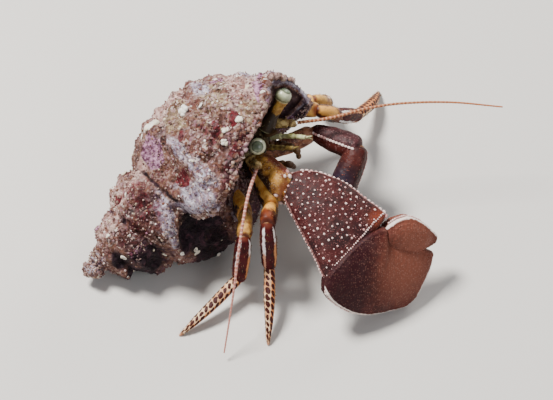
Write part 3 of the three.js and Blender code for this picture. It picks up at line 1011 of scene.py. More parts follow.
class CorneaFinish(Finish):
    """A crab's eye: a dark middle, a pale green ring and a darker foot."""

    def paint(self, graph: Graph) -> Painted:
        """Paints the cornea by the mask pole.

        Args:
            graph: The material's graph.

        Returns:
            What Finish.paint gives.
        """
        colour = graph.ramp(
            graph.mask("pole") + (graph.noise(0.5, 4) - 0.5) * 0.12, (0, 120, 112, 78),
            (0.3, 146, 150, 118), (0.5, 170, 176, 142), (0.76, 200, 202, 170), (0.84, 70, 78, 60),
            (0.9, 120, 130, 104), (1, 92, 102, 84))
        facets = Wire(graph, graph.cells(9, 0.2).outputs["Distance"])
        return colour, facets, 0.02, 0.5


@dataclass(frozen=True)
class SoftFinish(Finish):
    """Soft skin between the plates and on the trunk: dark folds, light skin and fine specks."""

    dark: Colour = (63, 48, 39)
    light: Colour = (124, 108, 89)
    speck: Colour = (203, 188, 149)

    def paint(self, graph: Graph) -> Painted:
        """Reads no mask."""
        colour = MOTTLE.use(graph, 1.1, self.dark, self.light)[0]
        colour = graph.mix(GRANULES.use(graph, 2.2, 0.24)[0] * 0.6, colour, self.speck)
        return colour, graph.noise(0.7, 5, 1.5), 0.14, 1


@dataclass(frozen=True)
class FeelerFinish(Finish):
    """A feeler of many short rings, with gaps between them and another colour at the tip."""

    band: Colour = (170, 124, 89)
    gap: Colour = (203, 170, 149)
    tip: Colour = (188, 149, 124)

    def paint(self, graph: Graph) -> Painted:
        """Paints a feeler by the masks chart and compass.

        Args:
            graph: The material's graph.

        Returns:
            What Finish.paint gives.
        """
        along, share = (graph.parts(graph.vector(name))[2] for name in ("chart", "compass"))
        rings = graph.maths("PINGPONG", along, 0.35)
        colour = graph.mix(graph.between(rings, 0.08, 0.2), self.gap, self.band)
        colour = graph.mix(graph.between(share, 0.35, 1), colour, self.tip)
        return colour, graph.between(rings, 0.02, 0.12), 0.05, 1


class FloorFinish(Finish):
    """The plain pale floor."""

    def paint(self, graph: Graph) -> Painted:
        """Reads no mask."""
        cloud = graph.noise(60, 2)
        return graph.mix(cloud, (214, 211, 206), (222, 219, 214)), cloud, 0, 0


YELLOW = CuticleFinish(
    "yellow_thigh", Slot.LEG, 0.46, 0.3, dark=(208, 138, 54), light=(250, 196, 104), joint=(150, 78, 36),
    granule=(246, 226, 160), cover=0.2, stripes=(Stripe(100, 44, (48, 30, 40), 0.3),
    Stripe(-100, 38, (70, 38, 32), 0.3), Stripe(180, 36, (110, 60, 34), 0.4)))
RED = CuticleFinish(
    "red_knee", Slot.LEG, 0.46, 0.25, dark=(58, 18, 12), light=(118, 54, 26), density=0.6,
    joint=(78, 30, 18), granule=(168, 112, 66), cover=0.2, relief=0.05,
    stripes=(Stripe(96, 34, (50, 14, 14), 0.3), Stripe(-96, 34, (50, 14, 14), 0.3),
    Stripe(-6, 54, (228, 166, 78), 0.4, -0.2, 0.74)))
TAN_KNEE = CuticleFinish(
    "tan_knee", Slot.LEG, 0.46, 0.25, dark=(146, 88, 38), light=(226, 176, 94), density=0.6,
    joint=(96, 44, 22), granule=(240, 208, 140), cover=0.2, relief=0.05,
    stripes=(Stripe(100, 36, (64, 26, 20), 0.3), Stripe(-100, 36, (84, 36, 20), 0.4),
    Stripe(180, 50, (96, 48, 26), 0.4)))
DARK_SHIN = CuticleFinish(
    "dark_shin", Slot.LEG, 0.62, 0.12, dark=(40, 6, 10), light=(76, 12, 18), joint=(86, 34, 22),
    granule=(104, 30, 32), cover=0.08, relief=0.03,
    stripes=(Stripe(56, 11, (244, 238, 238), 0.12, 0.03, 0.66),
    Stripe(56, 11, (196, 142, 116), 0.12, 0.56, 0.96), Stripe(-36, 10, (240, 228, 222), 0.12, 0.03, 0.4),
    Stripe(-36, 13, (206, 138, 88), 0.2, 0.32, 0.96),
    Stripe(180, 15, (214, 170, 140), 0.12, 0.03, 0.95)))
SPOTTED_FOOT = CuticleFinish(
    "spotted_foot", Slot.LEG, 0.55, 0.2, dark=(206, 146, 102), light=(240, 206, 166), density=0.5,
    spots=(56, 12, 12), joint=(196, 138, 104), granule=(240, 222, 196), cover=0.1, relief=0.04,
    stripes=(Stripe(-60, 50, (206, 132, 80), 0.12, 0, 0.9),))
CLAW_LIMB = CuticleFinish(
    "claw_limb", Slot.CLAW, 0.5, 0.3, dark=(112, 64, 34), light=(214, 158, 76), density=0.9,
    joint=(150, 84, 44), granule=(244, 226, 190), cover=0.34,
    stripes=(Stripe(-108, 40, (52, 28, 24), 0.4), Stripe(0, 60, (92, 52, 34), 0.5),
    Stripe(128, 26, (128, 58, 40), 0.4, 0.1, 1)))
# Wrist plate: its patch of painted lighting is a painted light patch near the far end.
CARPUS = PlateFinish(
    "wrist_plate", Slot.CLAW, 0.58, 0.22, dark=(36, 11, 14), light=(64, 18, 18), rim=(150, 106, 102),
    rim_width=0.2, granule=(104, 50, 48), density=3, cover=0.36, glow=(116, 50, 30))
# Big hand: a painted light patch towards the fingers, and painted shadow from the wrist over its near
# end.
HAND = PlateFinish(
    "hand_plate", Slot.CLAW, 0.6, 0.18, dark=(44, 8, 12), light=(66, 16, 16), rim=(236, 222, 214),
    rim_width=0.3, granule=(156, 104, 88), granule_share=0.15, density=3, cover=0.38, base=(46, 8, 15),
    shadow_reach=5.4, glow=(126, 70, 54))
# Small hand: its patch of painted lighting is a blue-grey painted shadow.
SMALL_HAND = PlateFinish(
    "small_hand_plate", Slot.CLAW, 0.52, 0.2, dark=(42, 9, 9), light=(70, 20, 14), rim=(224, 200, 190),
    rim_width=0.34, granule=(124, 66, 50), density=2.4, cover=0.26, glow=(34, 24, 40))
SMALL_LIMB = CuticleFinish(
    "small_claw_limb", Slot.CLAW, 0.45, 0.3, dark=(92, 46, 34), light=(176, 118, 88),
    joint=(150, 92, 60), granule=(226, 190, 160), cover=0.3)
SMALL_WRIST = CuticleFinish(
    "small_wrist", Slot.CLAW, 0.55, 0.25, dark=(40, 15, 19), light=(74, 35, 38), granule=(140, 102, 100),
    cover=0.4, stripes=(Stripe(145, 44, (70, 20, 15), 0.3), Stripe(-100, 30, (60, 18, 12), 0.3)))
BEADS = BeadFinish(
    "pale_beads", Slot.CLAW, 0.42, foot=(140, 92, 88), crown=(234, 208, 202), other=(204, 150, 146))
KNOBS = BeadFinish(
    "limy_knobs", Slot.SHELL, 0.6, foot=(150, 124, 112), crown=(238, 234, 226), other=(216, 204, 178))
CRUST = CrustFinish("shell_crust", Slot.SHELL, 0.78, 0.25)
NACRE = NacreFinish("shell_mouth", Slot.SHELL, 0.45)
GRIT = GritFinish("shell_grit", Slot.SHELL, 0.7, 0.3)
CORNEA = CorneaFinish("cornea", Slot.EYE, 0.28, 0.5, coat=0.35)
TRUNK_SKIN = SoftFinish(
    "trunk_skin", Slot.BODY, 0.45, dark=(44, 34, 26), light=(104, 88, 52), speck=(186, 170, 110))
JOINT_SKIN = SoftFinish(
    "joint_skin", Slot.BODY, 0.45, 0.3, dark=(74, 36, 20), light=(138, 88, 42), speck=(190, 146, 90))
SHIELD = CuticleFinish(
    "shield", Slot.BODY, 0.45, dark=(58, 44, 32), light=(122, 104, 66), density=0.5,
    granule=(190, 176, 130), cover=0.34)
STALK = CuticleFinish(
    "eye_stalk", Slot.BODY, 0.4, dark=(150, 104, 44), light=(206, 160, 74), granule=(230, 206, 140),
    cover=0.2, joint=(180, 176, 130), stripes=(Stripe(180, 60, (74, 56, 36)),
    Stripe(0, 180, (52, 38, 24), 0.12, -0.5, 0.62)))
GREEN_RODS = CuticleFinish(
    "green_feeler_rods", Slot.BODY, 0.4, dark=(104, 84, 44), light=(172, 152, 84),
    granule=(214, 204, 150), cover=0.15, joint=(84, 60, 36), relief=0.03,
    stripes=(Stripe(180, 50, (58, 42, 30), 0.3),))
PALE_RODS = CuticleFinish(
    "pale_feeler_rods", Slot.BODY, 0.4, dark=(140, 138, 88), light=(204, 206, 160),
    granule=(230, 230, 206), cover=0.15, joint=(104, 84, 56), relief=0.03,
    stripes=(Stripe(180, 50, (84, 60, 56), 0.3),))
FEELER_FOOT = CuticleFinish(
    "feeler_foot", Slot.BODY, 0.42, dark=(110, 78, 40), light=(220, 190, 124), density=1.2,
    granule=(236, 216, 160), cover=0.2, joint=(96, 60, 30), stripes=(Stripe(150, 60, (52, 32, 24)),))
JAW_LIMB = CuticleFinish(
    "jaw_limb", Slot.BODY, 0.42, dark=(52, 32, 26), light=(112, 76, 44), granule=(170, 130, 90),
    cover=0.25, joint=(150, 112, 60))
FEELER = FeelerFinish(
    "long_feeler", Slot.FEELER, 0.4, band=(150, 84, 50), gap=(206, 150, 110), tip=(184, 108, 62))
PINK_FEELER = FeelerFinish(
    "pink_feeler", Slot.FEELER, 0.4, band=(168, 104, 92), gap=(216, 168, 156), tip=(190, 126, 112))
BRISTLE = BeadFinish(
    "bristles", Slot.LEG, 0.5, foot=(128, 84, 44), crown=(206, 168, 112), other=(170, 120, 70))
FLOOR = FloorFinish("pale_floor", Slot.SHELL, 0.8, 0.2)


@dataclass
class Workshop:
    """Makes the pieces and sets them on the frame.

    Shift is the place of the animal's own space in the frame, in millimetres.
    """

    shift: Array

    def metres(self, points: Array) -> Array:
        """Points of the animal's own space as places in the frame, none under its floor."""
        return np.maximum(points + self.shift, (-np.inf, -np.inf, 0)) * MILLIMETRE

    def mesh(self, name: str, surface: Surface, *finishes: Finish) -> bpy.types.Object:
        """A smooth-shaded object in the scene.

        Args:
            name: Name of the object.
            surface: Its shape.
            *finishes: What it can be dressed in; the surface's slot picks one.

        Returns:
            The new object.
        """
        mesh = bpy.data.meshes.new(name)
        faces = [face for block in surface.faces for face in block.tolist()]
        mesh.from_pydata(self.metres(surface.points), [], faces)
        mesh.polygons.foreach_set("material_index", [surface.slot] * len(faces))
        for label, mask in surface.masks.items():
            kind, key = ("FLOAT_VECTOR", "vector") if mask.ndim == 2 else ("FLOAT", "value")
            attribute = mesh.attributes.new(label, kind, "POINT")
            attribute.data.foreach_set(key, mask.astype(np.float32).ravel())
        mesh.shade_smooth()
        for finish in finishes:
            mesh.materials.append(finish.material())
        piece = bpy.data.objects.new(name, mesh)
        bpy.context.scene.collection.objects.link(piece)
        return piece

    def fit(self, piece: bpy.types.Object, slot: Slot, *nodes: str) -> None:
        """Sets a piece on the frame.

        Args:
            piece: The object.
            slot: The record's slot of its finish; not used.
            *nodes: Nodes that it stands for.
        """
        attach(piece, BODY)
        if nodes:
            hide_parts(*nodes)
        count = len(piece.data.polygons)
        LOG.info("%s: %d faces, for %s", piece.name, count, ", ".join(nodes) or "detail")

    def piece(self, name: str, surface: Surface, finish: Finish, *nodes: str) -> bpy.types.Object:
        """Makes a piece of one finish and sets it on the frame.

        Args:
            name: Name of the piece.
            surface: Its shape.
            finish: Its finish, which knows the slot.
            *nodes: Nodes that it stands for.

        Returns:
            The piece.
        """
        made = self.mesh(name, surface, finish)
        self.fit(made, finish.slot, *nodes)
        return made


# ---- trunk and limbs


@dataclass(frozen=True)
class Trunk:
    """Carriage of the body: place of the rostrum between the eyes, and how the trunk is turned.

    The yaw, the pitch and the roll, which raises its left side, are in degrees.
    """

    rostrum: Place = (2.5, 26.9, 19.3)
    yaw: float = -26.5
    pitch: float = 5.0
    roll: float = 14.0

    def axes(self) -> tuple[Array, Array, Array]:
        """Directions of the trunk.

        Returns:
            Unit directions ahead, to the left and upwards.
        """
        forward, flat = heading(self.yaw, self.pitch), heading(self.yaw + 90, 0)
        roll = math.radians(self.roll)
        left = flat * math.cos(roll) + np.cross(forward, flat) * math.sin(roll)
        return forward, left, np.cross(forward, left)

    def point(self, ahead: float, to_left: float, above: float) -> Array:
        """A place of the trunk, measured from the rostrum."""
        forward, left, up = self.axes()
        return np.array(self.rostrum) + forward * ahead + left * to_left + up * above

    def rings(self, rows: Table, count: int, sides: int) -> Array:
        """Points of rings of a squarish section along the trunk.

        Args:
            rows: Distance behind the rostrum, width, height and middle of each section.
            count: How many rings are wanted.
            sides: Points of each ring.

        Returns:
            An array of count by sides by three.
        """
        forward, left, up = self.axes()
        behind = np.linspace(rows[0][0], rows[-1][0], count)
        width, height, above = eased(rows, behind).T
        ends = rounded(behind, behind[0], behind[-1], 0.9)
        high, wide = (np.sign(way) * np.abs(way) ** 0.8
                      for way in (np.cos(circle(sides)), np.sin(circle(sides))))
        middle = np.array(self.rostrum) - behind[:, None] * forward + above[:, None] * up
        return (middle[:, None]
                + np.outer(ends * height / 2, high)[..., None] * up
                + np.outer(ends * width / 2, wide)[..., None] * left)


@dataclass
class Limb:
    """One segment of a limb: a bowed tube of oval section that starts at its near joint.

    The side is square to the plane that the limb bends in. Stations are rows of a share of the length
    and a share of the size. The bow raises the middle, rounding is the share of the length over which
    an end is rounded, and the keel sharpens the upper edge.
    """

    start: Array
    direction: Array
    side: Array
    length: float
    height: float
    width: float
    stations: Table
    bow: float = 0.0
    rounding: float = 0.09
    keel: float = 0.0

    def at(self, share: Array, angle: Array) -> tuple[Array, Array]:
        """Places and outward directions on the surface.

        Args:
            share: Places along the segment, as shares of its length.
            angle: Places round it in radians, from the upper edge.

        Returns:
            Points and unit directions.
        """
        up = unit(np.cross(self.side, self.direction))
        across = np.cross(self.direction, up)
        share, angle = share[:, None], angle[:, None]
        centre = self.start + share * self.length * self.direction
        centre = centre + 4 * self.bow * share * (1 - share) * up
        tilted = unit(up - 4 * self.bow * (1 - 2 * share) / self.length * self.direction)
        size = eased(self.stations, share)
        size = size * rounded(share, self.stations[0][0], self.stations[-1][0], self.rounding)
        size = size * (1 + self.keel * np.maximum(np.cos(angle), 0) ** 6)
        high, wide = np.cos(angle) * tilted, np.sin(angle) * across
        outward = unit(high / self.height + wide / self.width)
        return centre + size / 2 * (high * self.height + wide * self.width), outward

    def surface(self, rows: int, sides: int, noise: Noise, rough: float = 0.05) -> Surface:
        """The closed segment.

        Args:
            rows: Rings along it.
            sides: Points of each ring.
            noise: Source of its unevenness.
            rough: Height of the unevenness in millimetres.

        Returns:
            The surface, with the masks chart and compass.
        """
        start, stop = self.stations[0][0], self.stations[-1][0]
        share, angle = grid(np.linspace(start, stop, rows), circle(sides))
        points, outward = self.at(share, angle)
        points = points + outward * (rough * noise.fractal(points, 1.3))[:, None]
        size = eased(self.stations, share)
        return Surface.from_rings(points, rows, wrapped(
            angle, size * self.width / 2, size * self.height / 2, share * self.length,
            (share - start) / (stop - start)))


def chain(hip: Array, lengths: Iterable[float], angles: Iterable[Iterable[float]]) -> Array:
    """Joints of a limb from its hip, by the length, yaw and pitch of its segments."""
    steps = [heading(*angle) * length for length, angle in zip(lengths, angles)]
    return np.cumsum([hip, *steps], axis=0)


def sleeve(joint: Array, before: Array, after: Array, radius: float, reach: float) -> Surface:
    """A short folded tube of soft skin through a joint.

    Args:
        joint: Middle of the joint.
        before: Direction of the segment that ends there.
        after: Direction of the segment that starts there.
        radius: Radius of the tube.
        reach: How far it goes into each segment.

    Returns:
        The tube.
    """
    rows, folds, upright = 30, 4, heading(17, 53)
    line = smooth_line(np.array([
        joint - before * reach, joint - before * reach * 0.4, joint + after * reach * 0.4,
        joint + after * reach]), rows)
    share = np.linspace(0, 1, rows)
    radii = 0.9 + 0.07 * np.cos(share * 2 * math.pi * folds)
    radii = radius * radii * rounded(share, 0, 1, 0.25)
    return tube(line, np.maximum(radii, 0.01), 20, np.cross(before, upright))


@dataclass(frozen=True)
class Segment:
    """What segments of one name have in common; where the finish is None, the leg chooses it."""

    name: str
    height: float
    width: float
    stations: Table
    bow: float
    finish: CuticleFinish | None
    keel: float = 0.0


SEGMENTS = (
    Segment("ischium", 3.0, 2.6, [[-0.15, 0.6], [0.1, 0.95], [0.7, 1], [1.1, 0.8]], 0.0, YELLOW),
    Segment("merus", 4.2, 2.8, [
        [-0.04, 0.55], [0.08, 0.82], [0.35, 0.98], [0.75, 1], [0.95, 0.92], [1.03, 0.66],
    ], 0.0, YELLOW, 0.04),
    Segment("carpus", 3.5, 2.7, [
        [-0.1, 0.5], [0.08, 0.74], [0.4, 0.95], [0.8, 1], [1.05, 0.72]], 0.25, None),
    Segment("propodus", 3.3, 2.7, [
        [-0.05, 0.55], [0.08, 0.86], [0.4, 1], [0.8, 0.94], [0.97, 0.84], [1.02, 0.6],
    ], 0.1, DARK_SHIN, 0.04),
    Segment("dactyl", 2.3, 1.9, [
        [-0.04, 0.6], [0.07, 0.96], [0.35, 0.98], [0.65, 0.78], [0.88, 0.46], [1, 0.22],
    ], 0.7, SPOTTED_FOOT),
)


@dataclass
class WalkingLeg:
    """A walking leg of five hard segments, by the length, yaw and pitch of each, from the hip.

    The name starts its nodes' names, and the knee is the finish of its carpus.
    """

    name: str
    hip: Array
    lengths: list[float]
    angles: list[list[float]]
    seed: int
    knee: CuticleFinish = RED

    def limbs(self) -> list[Limb]:
        """Shapes of the segments.

        Returns:
            The limbs, from the hip.
        """
        joints = chain(self.hip, self.lengths, self.angles)
        side = unit(np.cross(heading(*self.angles[3]), heading(*self.angles[1])))
        return [Limb(
            joints[i], heading(*self.angles[i]), side, self.lengths[i], segment.height,
            segment.width, segment.stations, segment.bow, rounding=0.07, keel=segment.keel,
        ) for i, segment in enumerate(SEGMENTS)]

    def build(self, workshop: Workshop) -> None:
        """Makes each segment in place of its node.

        Args:
            workshop: Makes the objects.
        """
        noise = Noise(self.seed)
        for segment, limb in zip(SEGMENTS, self.limbs()):
            node = f"{self.name}_{segment.name}"
            workshop.piece(f"{node}_cuticle", limb.surface(60 + int(4 * limb.length), 48, noise),
                           segment.finish or self.knee, node)

    def sleeves(self) -> list[Surface]:
        """Soft skin in the joints.

        Returns:
            A sleeve for each joint.
        """
        limbs = self.limbs()
        return [sleeve(
            after.start, before.direction, after.direction,
            0.36 * min(before.width, after.width, before.height), 1.3,
        ) for before, after in zip(limbs, limbs[1:])]


class Margin(Enum):
    """Which margins of a plate have the pale rim."""

    FIRST = -1
    SECOND = 1
    BOTH = 2


@dataclass
class Plate:
    """A broad flat plate of a claw, from its near joint along its length.

    Across points to its second margin. Stations are rows of distance, first margin, second margin,
    rise and drop. Edge is half the thickness of the margins, welt the height of their raised rim, and
    pale says which have the pale rim. The field glow gives the middle of a patch of painted lighting as
    distance and place across, and its radius.
    """

    origin: Array
    along: Array
    across: Array
    stations: Table
    edge: float = 0.45
    welt: float = 0.0
    pale: Margin = Margin.BOTH
    glow: Place = (0.0, 0.0, 0.0)

    def normal(self) -> Array:
        """Unit direction out of the upper side."""
        return unit(np.cross(self.across, self.along))

    def middle(self, distance: Array) -> tuple[Array, Array]:
        """Place across of the middle, and half the width, at some distances."""
        first, second = eased(self.stations, distance).T[:2]
        return (first + second) / 2, (second - first) / 2

    def ends(self, distance: Array) -> Array:
        """Factor that rounds both ends off."""
        return rounded(distance, self.stations[0][0], self.stations[-1][0], 0.55)

    def at(self, distance: Array, angle: Array) -> Array:
        """Places on the surface.

        Args:
            distance: Places along the plate in millimetres.
            angle: Places round it in radians, from the second margin over the upper side.

        Returns:
            Points.
        """
        rise, drop = eased(self.stations, distance).T[2:]
        centre, half = self.middle(distance)
        ends = self.ends(distance)
        half = half * (0.35 + 0.65 * ends)
        bulge = np.sin(angle)
        margin = half * (1 - np.abs(np.cos(angle)))
        welt = self.welt * np.exp(-((margin - 0.3) / 0.3) ** 2) * np.sign(bulge)
        thick = np.where(bulge > 0, rise, drop) * bulge + self.edge * np.tanh(bulge * 6)
        sideways = centre + half * np.cos(angle)
        return (self.origin + distance[:, None] * self.along + sideways[:, None] * self.across
                + ((thick + welt) * ends)[:, None] * self.normal())

    def facing(self, distance: Array, angle: Array) -> tuple[Array, Array, Array]:
        """Places on the surface with their directions.

        Args:
            distance: Places along the plate in millimetres.
            angle: Places round it in radians.

        Returns:
            Points, outward unit directions, and unit directions along the plate.
        """
        step = 0.01
        points = self.at(distance, angle)
        length = self.at(distance + step, angle) - self.at(distance - step, angle)
        width = self.at(distance, angle + step) - self.at(distance, angle - step)
        outward = unit(np.cross(length, width))
        centre = self.middle(distance)[0]
        middle = self.origin + distance[:, None] * self.along + centre[:, None] * self.across
        outward[np.sum(outward * (points - middle), axis=-1) < 0] *= -1
        return points, outward, unit(length)

    def on_top(self, distance: Array, share: Array) -> tuple[Array, Array, Array]:
        """What facing gives on the upper side, at shares of the width from the first margin."""
        return self.facing(distance, np.arccos(2 * share - 1))

    def surface(self, noise: Noise, rows: int, sides: int, grain: float, relief: float) -> Surface:
        """The closed plate.

        Args:
            noise: Source of its unevenness.
            rows: Rings along it.
            sides: Points of each ring.
            grain: Spacing of its granules.
            relief: Height of its granules.

        Returns:
            The surface, with the masks chart, margin and glow, the last of which places the patch of
            painted lighting.
        """
        start, stop = self.stations[0][0], self.stations[-1][0]
        ease = np.linspace(0, math.pi, rows)
        angle = circle(sides)
        distance, angle = grid(
            start + (stop - start) * (0.5 - 0.5 * np.cos(ease) + ease / math.pi) / 2,
            angle - 0.16 * np.sin(2 * angle))
        points, outward, _ = self.facing(distance, angle)
        relief = relief * noise.grains(points, grain)[0] + 0.09 * noise.fractal(points, 3.0)
        points = points + outward * (relief * self.ends(distance))[:, None]
        centre, half = self.middle(distance)
        sideways = centre + half * np.cos(angle)
        span = 0.05
        near, far = (eased(self.stations, distance + step).T[:2] for step in (-span, span))
        slope = np.hypot(1, (far - near) / (2 * span))
        left, right = (sideways - centre + half) / slope[0], (centre + half - sideways) / slope[1]
        gaps = {Margin.FIRST: left, Margin.SECOND: right, Margin.BOTH: np.minimum(left, right)}
        away, cross, radius = self.glow
        reach = max(radius, 0.1) ** 2
        return Surface.from_rings(points, rows, {
            "chart": np.stack([sideways, np.sin(angle), distance], -1),
            "margin": np.minimum(gaps[self.pale], stop - distance + 0.1),
            "glow": np.exp(-((distance - away) ** 2 + (sideways - cross) ** 2) / reach)})

    def rim(self, side: int, start: float, stop: float, spacing: float) -> tuple[Array, Array, Array]:
        """Even places along one margin.

        Args:
            side: 1 for the second margin, -1 for the first.
            start: First distance.
            stop: Last distance.
            spacing: Space between places.

        Returns:
            Points, outward directions and directions along the margin.
        """
        fine, inset = np.linspace(start, stop, 400), 0.06
        angle = inset if side > 0 else math.pi - inset
        length = travelled(self.at(fine, np.full(len(fine), angle)))
        count = max(2, int(length[-1] / spacing))
        distance = np.interp(np.linspace(0, length[-1], count), length, fine)
        points, _, along = self.facing(distance, np.full(count, angle))
        outward = unit(np.cross(along, self.normal()) * side)
        outward = np.where((outward @ self.across * side)[:, None] < 0, -outward, outward)
        return points, unit(outward + 0.35 * self.normal()), along


@dataclass
class Cheliped:
    """A claw of limb segments, a wrist and a hand with a movable finger.

    The hip is measured from the rostrum. Lengths and angles of yaw and pitch go from the ischium to
    the hand, and skins are the radius and reach of the soft skin in each joint. Seed and rough, in
    millimetres, are those of its unevenness, and sides the points round its limb segments.
    """

    trunk: Trunk
    side: str
    hip: Place
    lengths: tuple[float, ...]
    angles: tuple[tuple[float, float], ...]
    skins: tuple[tuple[float, float], ...]
    seed: int
    sides: int
    rough: float

    def joints(self) -> Array:
        """Its joints from the hip to the tip of the hand."""
        return chain(self.trunk.point(*self.hip), self.lengths, self.angles)

    def limb(self, number: int, side: Array, height: float, width: float, stations: Table) -> Limb:
        """One of its limb segments."""
        return Limb(self.joints()[number], heading(*self.angles[number]), side,
                    self.lengths[number], height, width, stations)

    def limbs(self) -> dict[str, tuple[Limb, Finish]]:
        """Its limb segments and their finish, by name."""
        raise NotImplementedError

    def plates(self) -> dict[str, tuple[Plate, Finish, int, int, float, float]]:
        """Its plates by name, each with its finish and the sizes that Plate.surface takes."""
        raise NotImplementedError

    def ornaments(self) -> dict[str, list[Surface]]:
        """Its beads by the name of their piece."""
        raise NotImplementedError

    def build(self, workshop: Workshop) -> None:
        """Makes the claw's plates, limb segments and beads.

        Args:
            workshop: Makes the objects.
        """
        noise, name = Noise(self.seed), f"claw_{self.side}"
        for part, (plate, finish, *sizes) in self.plates().items():
            workshop.piece(f"{name}_{part}_plate", plate.surface(noise, *sizes), finish,
                           f"{name}_{part}")
        for part, (limb, finish) in self.limbs().items():
            workshop.piece(f"{name}_{part}_cuticle", limb.surface(90, self.sides, noise, self.rough),
                           finish, f"{name}_{part}")
        for part, lumps in self.ornaments().items():
            workshop.piece(f"{name}_{part}", Surface.joined(lumps), BEADS)

    def sleeves(self) -> list[Surface]:
        """The soft skin in its joints."""
        ways = [heading(*angles) for angles in self.angles]
        return [sleeve(*rest) for rest in zip(
            self.joints()[1:], ways, ways[1:], *zip(*self.skins))]


@dataclass
class MajorCheliped(Cheliped):
    """The broad right claw: a three-sided wrist plate and a hand like a fan.

    The two directions across are those of the lower margins of wrist and hand.
    """

    side: str = "r"
    hip: Place = (-4, -3, -5)
    lengths: tuple[float, ...] = (4, 9.5, 15.2, 15.4)
    angles: tuple[tuple[float, float], ...] = ((-25, 33), (-60, 9), (-39, -15), (21, -27.5))
    skins: tuple[tuple[float, float], ...] = ((1.6, 2.0), (1.5, 2.4), (0.8, 2.0))
    seed: int = 21
    sides: int = 72
    rough: float = 0.12
    carpus_across: Place = (-0.66, -0.667, -0.347)
    hand_across: Place = (-0.195, -0.61, -0.767)

    def plates(self) -> dict[str, tuple[Plate, Finish, int, int, float, float]]:
        """The wrist, the hand with its fixed finger, and the movable finger.

        Returns:
            What Cheliped.plates gives.
        """
        joints = self.joints()
        hand = joints[3], heading(*self.angles[3]), np.array(self.hand_across)
        return {
            "carpus": (Plate(joints[2], heading(*self.angles[2]), np.array(self.carpus_across), [
                [-1.6, -3.2, -0.6, 0.5, 1.6], [0.2, -4.9, 1.2, 1.1, 2.6], [3, -6.3, 2.5, 1.6, 3.1],
                [6.5, -7.3, 3.9, 1.8, 3.2], [11, -7.5, 5.7, 1.6, 2.9], [14.2, -7.7, 7.0, 0.9, 2.2],
                [15.3, -7.5, 7.0, 0.5, 1.6],
            ], glow=(14.4, -6.2, 1.8)), CARPUS, 170, 150, 0.8, 0.05),
            "palm": (Plate(*hand, [
                [-5.1, 4.5, 7.2, 0.3, 1.0], [-3.8, 2.6, 8.4, 0.8, 1.9], [-1.2, -0.8, 9.8, 1.3, 2.6],
                [1.8, -3.4, 10.6, 1.8, 3.0], [4.2, -4.3, 10.7, 2.0, 3.0],
                [4.9, -2.2, 10.6, 2.0, 2.9], [8, -1.9, 10.0, 1.8, 2.4], [11, -1.7, 9.2, 1.5, 1.9],
                [13, -1.1, 7.6, 1.1, 1.3], [14.2, -0.8, 4.4, 0.7, 0.7], [15.2, -0.5, 1.0, 0.1, 0.1],
            ], welt=0.16, pale=Margin.SECOND, glow=(9.0, 1.5, 7.0)), HAND, 170, 150, 0.5, 0.09),
            "dactyl": (Plate(*hand, [
                [4.3, -4.6, -1.4, 0.9, 1.2], [6.3, -6.0, -0.3, 1.5, 1.4],
                [8.3, -6.5, -0.1, 1.6, 1.4], [10.2, -6.1, -0.2, 1.5, 1.2],
                [12.2, -5.2, -0.75, 1.2, 0.9], [14.0, -4.1, -1.6, 0.5, 0.5],
                [15.3, -3.3, -2.5, 0.1, 0.1],
            ], welt=0.18, pale=Margin.FIRST, glow=(10.0, -4.0, 6.0)), HAND, 170, 150, 0.5, 0.09),
        }

    def limbs(self) -> dict[str, tuple[Limb, Finish]]:
        """The two near segments.

        Returns:
            What Cheliped.limbs gives.
        """
        left = self.trunk.axes()[1]
        return {
            "ischium": (self.limb(0, left, 4.4, 4.0, [[-0.2, 0.7], [0.3, 1], [1.1, 0.8]]), CLAW_LIMB),
            "merus": (self.limb(1, left, 7.2, 5.0, [
                [-0.05, 0.5], [0.12, 0.72], [0.45, 0.95], [0.85, 1], [1.02, 0.7]]), CLAW_LIMB),
        }

    def wrist_beads(self) -> list[Surface]:
        """Tubercles in rows over the wrist plate, spines on its upper margin, and beads round it.

        Returns:
            The beads.
        """
        plate, draw = self.plates()["carpus"][0], np.random.default_rng(11)
        rows, spacing, grains, last = 11, 1.24, 180, 34
        distance, share = [], []
        for row, place in enumerate(np.linspace(0.08, 0.92, rows)):
            start = -0.6 if row % 2 == 0 else 3.4
            for along in np.arange(start + 0.8 * draw.random(), 14.2, spacing):
                distance.append(along + draw.normal() * 0.2)
                share.append(place + draw.normal() * 0.014)
        sites, outward, along = plate.on_top(np.array(distance), np.clip(share, 0.05, 0.95))
        size = draw.uniform(0.12, 0.21, len(sites))
        parts = [beads(sites + outward * 0.06, outward, size, (1, 1.15, 1), along, seed=1)]
        away = 14.8 * draw.uniform(0.01, 0.98, grains) ** 0.75
        sites, outward, along = plate.on_top(away, draw.uniform(0.03, 0.97, grains))
        size = draw.uniform(0.05, 0.1, grains)
        parts.append(beads(sites, outward, size, lean=along, level=1, seed=2))
        parts[-1].masks["tone"][:] = 1
        sites, outward, along = plate.rim(-1, -0.6, 14.9, 0.74)
        size = draw.uniform(0.15, 0.24, len(sites))
        parts.append(beads(sites, unit(outward + 0.3 * along), size, (1, 1.9, 1.5), along, seed=3))
        sites, outward, along = plate.rim(1, -0.4, 15.0, 0.55)
        size = draw.uniform(0.14, 0.24, len(sites))
        parts.append(beads(sites, outward, size, (1, 1.2, 1), along, seed=4))
        away = 14.35 + draw.normal(size=last) * 0.05
        sites, outward, _ = plate.on_top(away, np.linspace(0.03, 0.97, last))
        size = draw.uniform(0.13, 0.2, last)
        parts.append(beads(sites + outward * 0.06, outward, size, seed=5))
        return parts

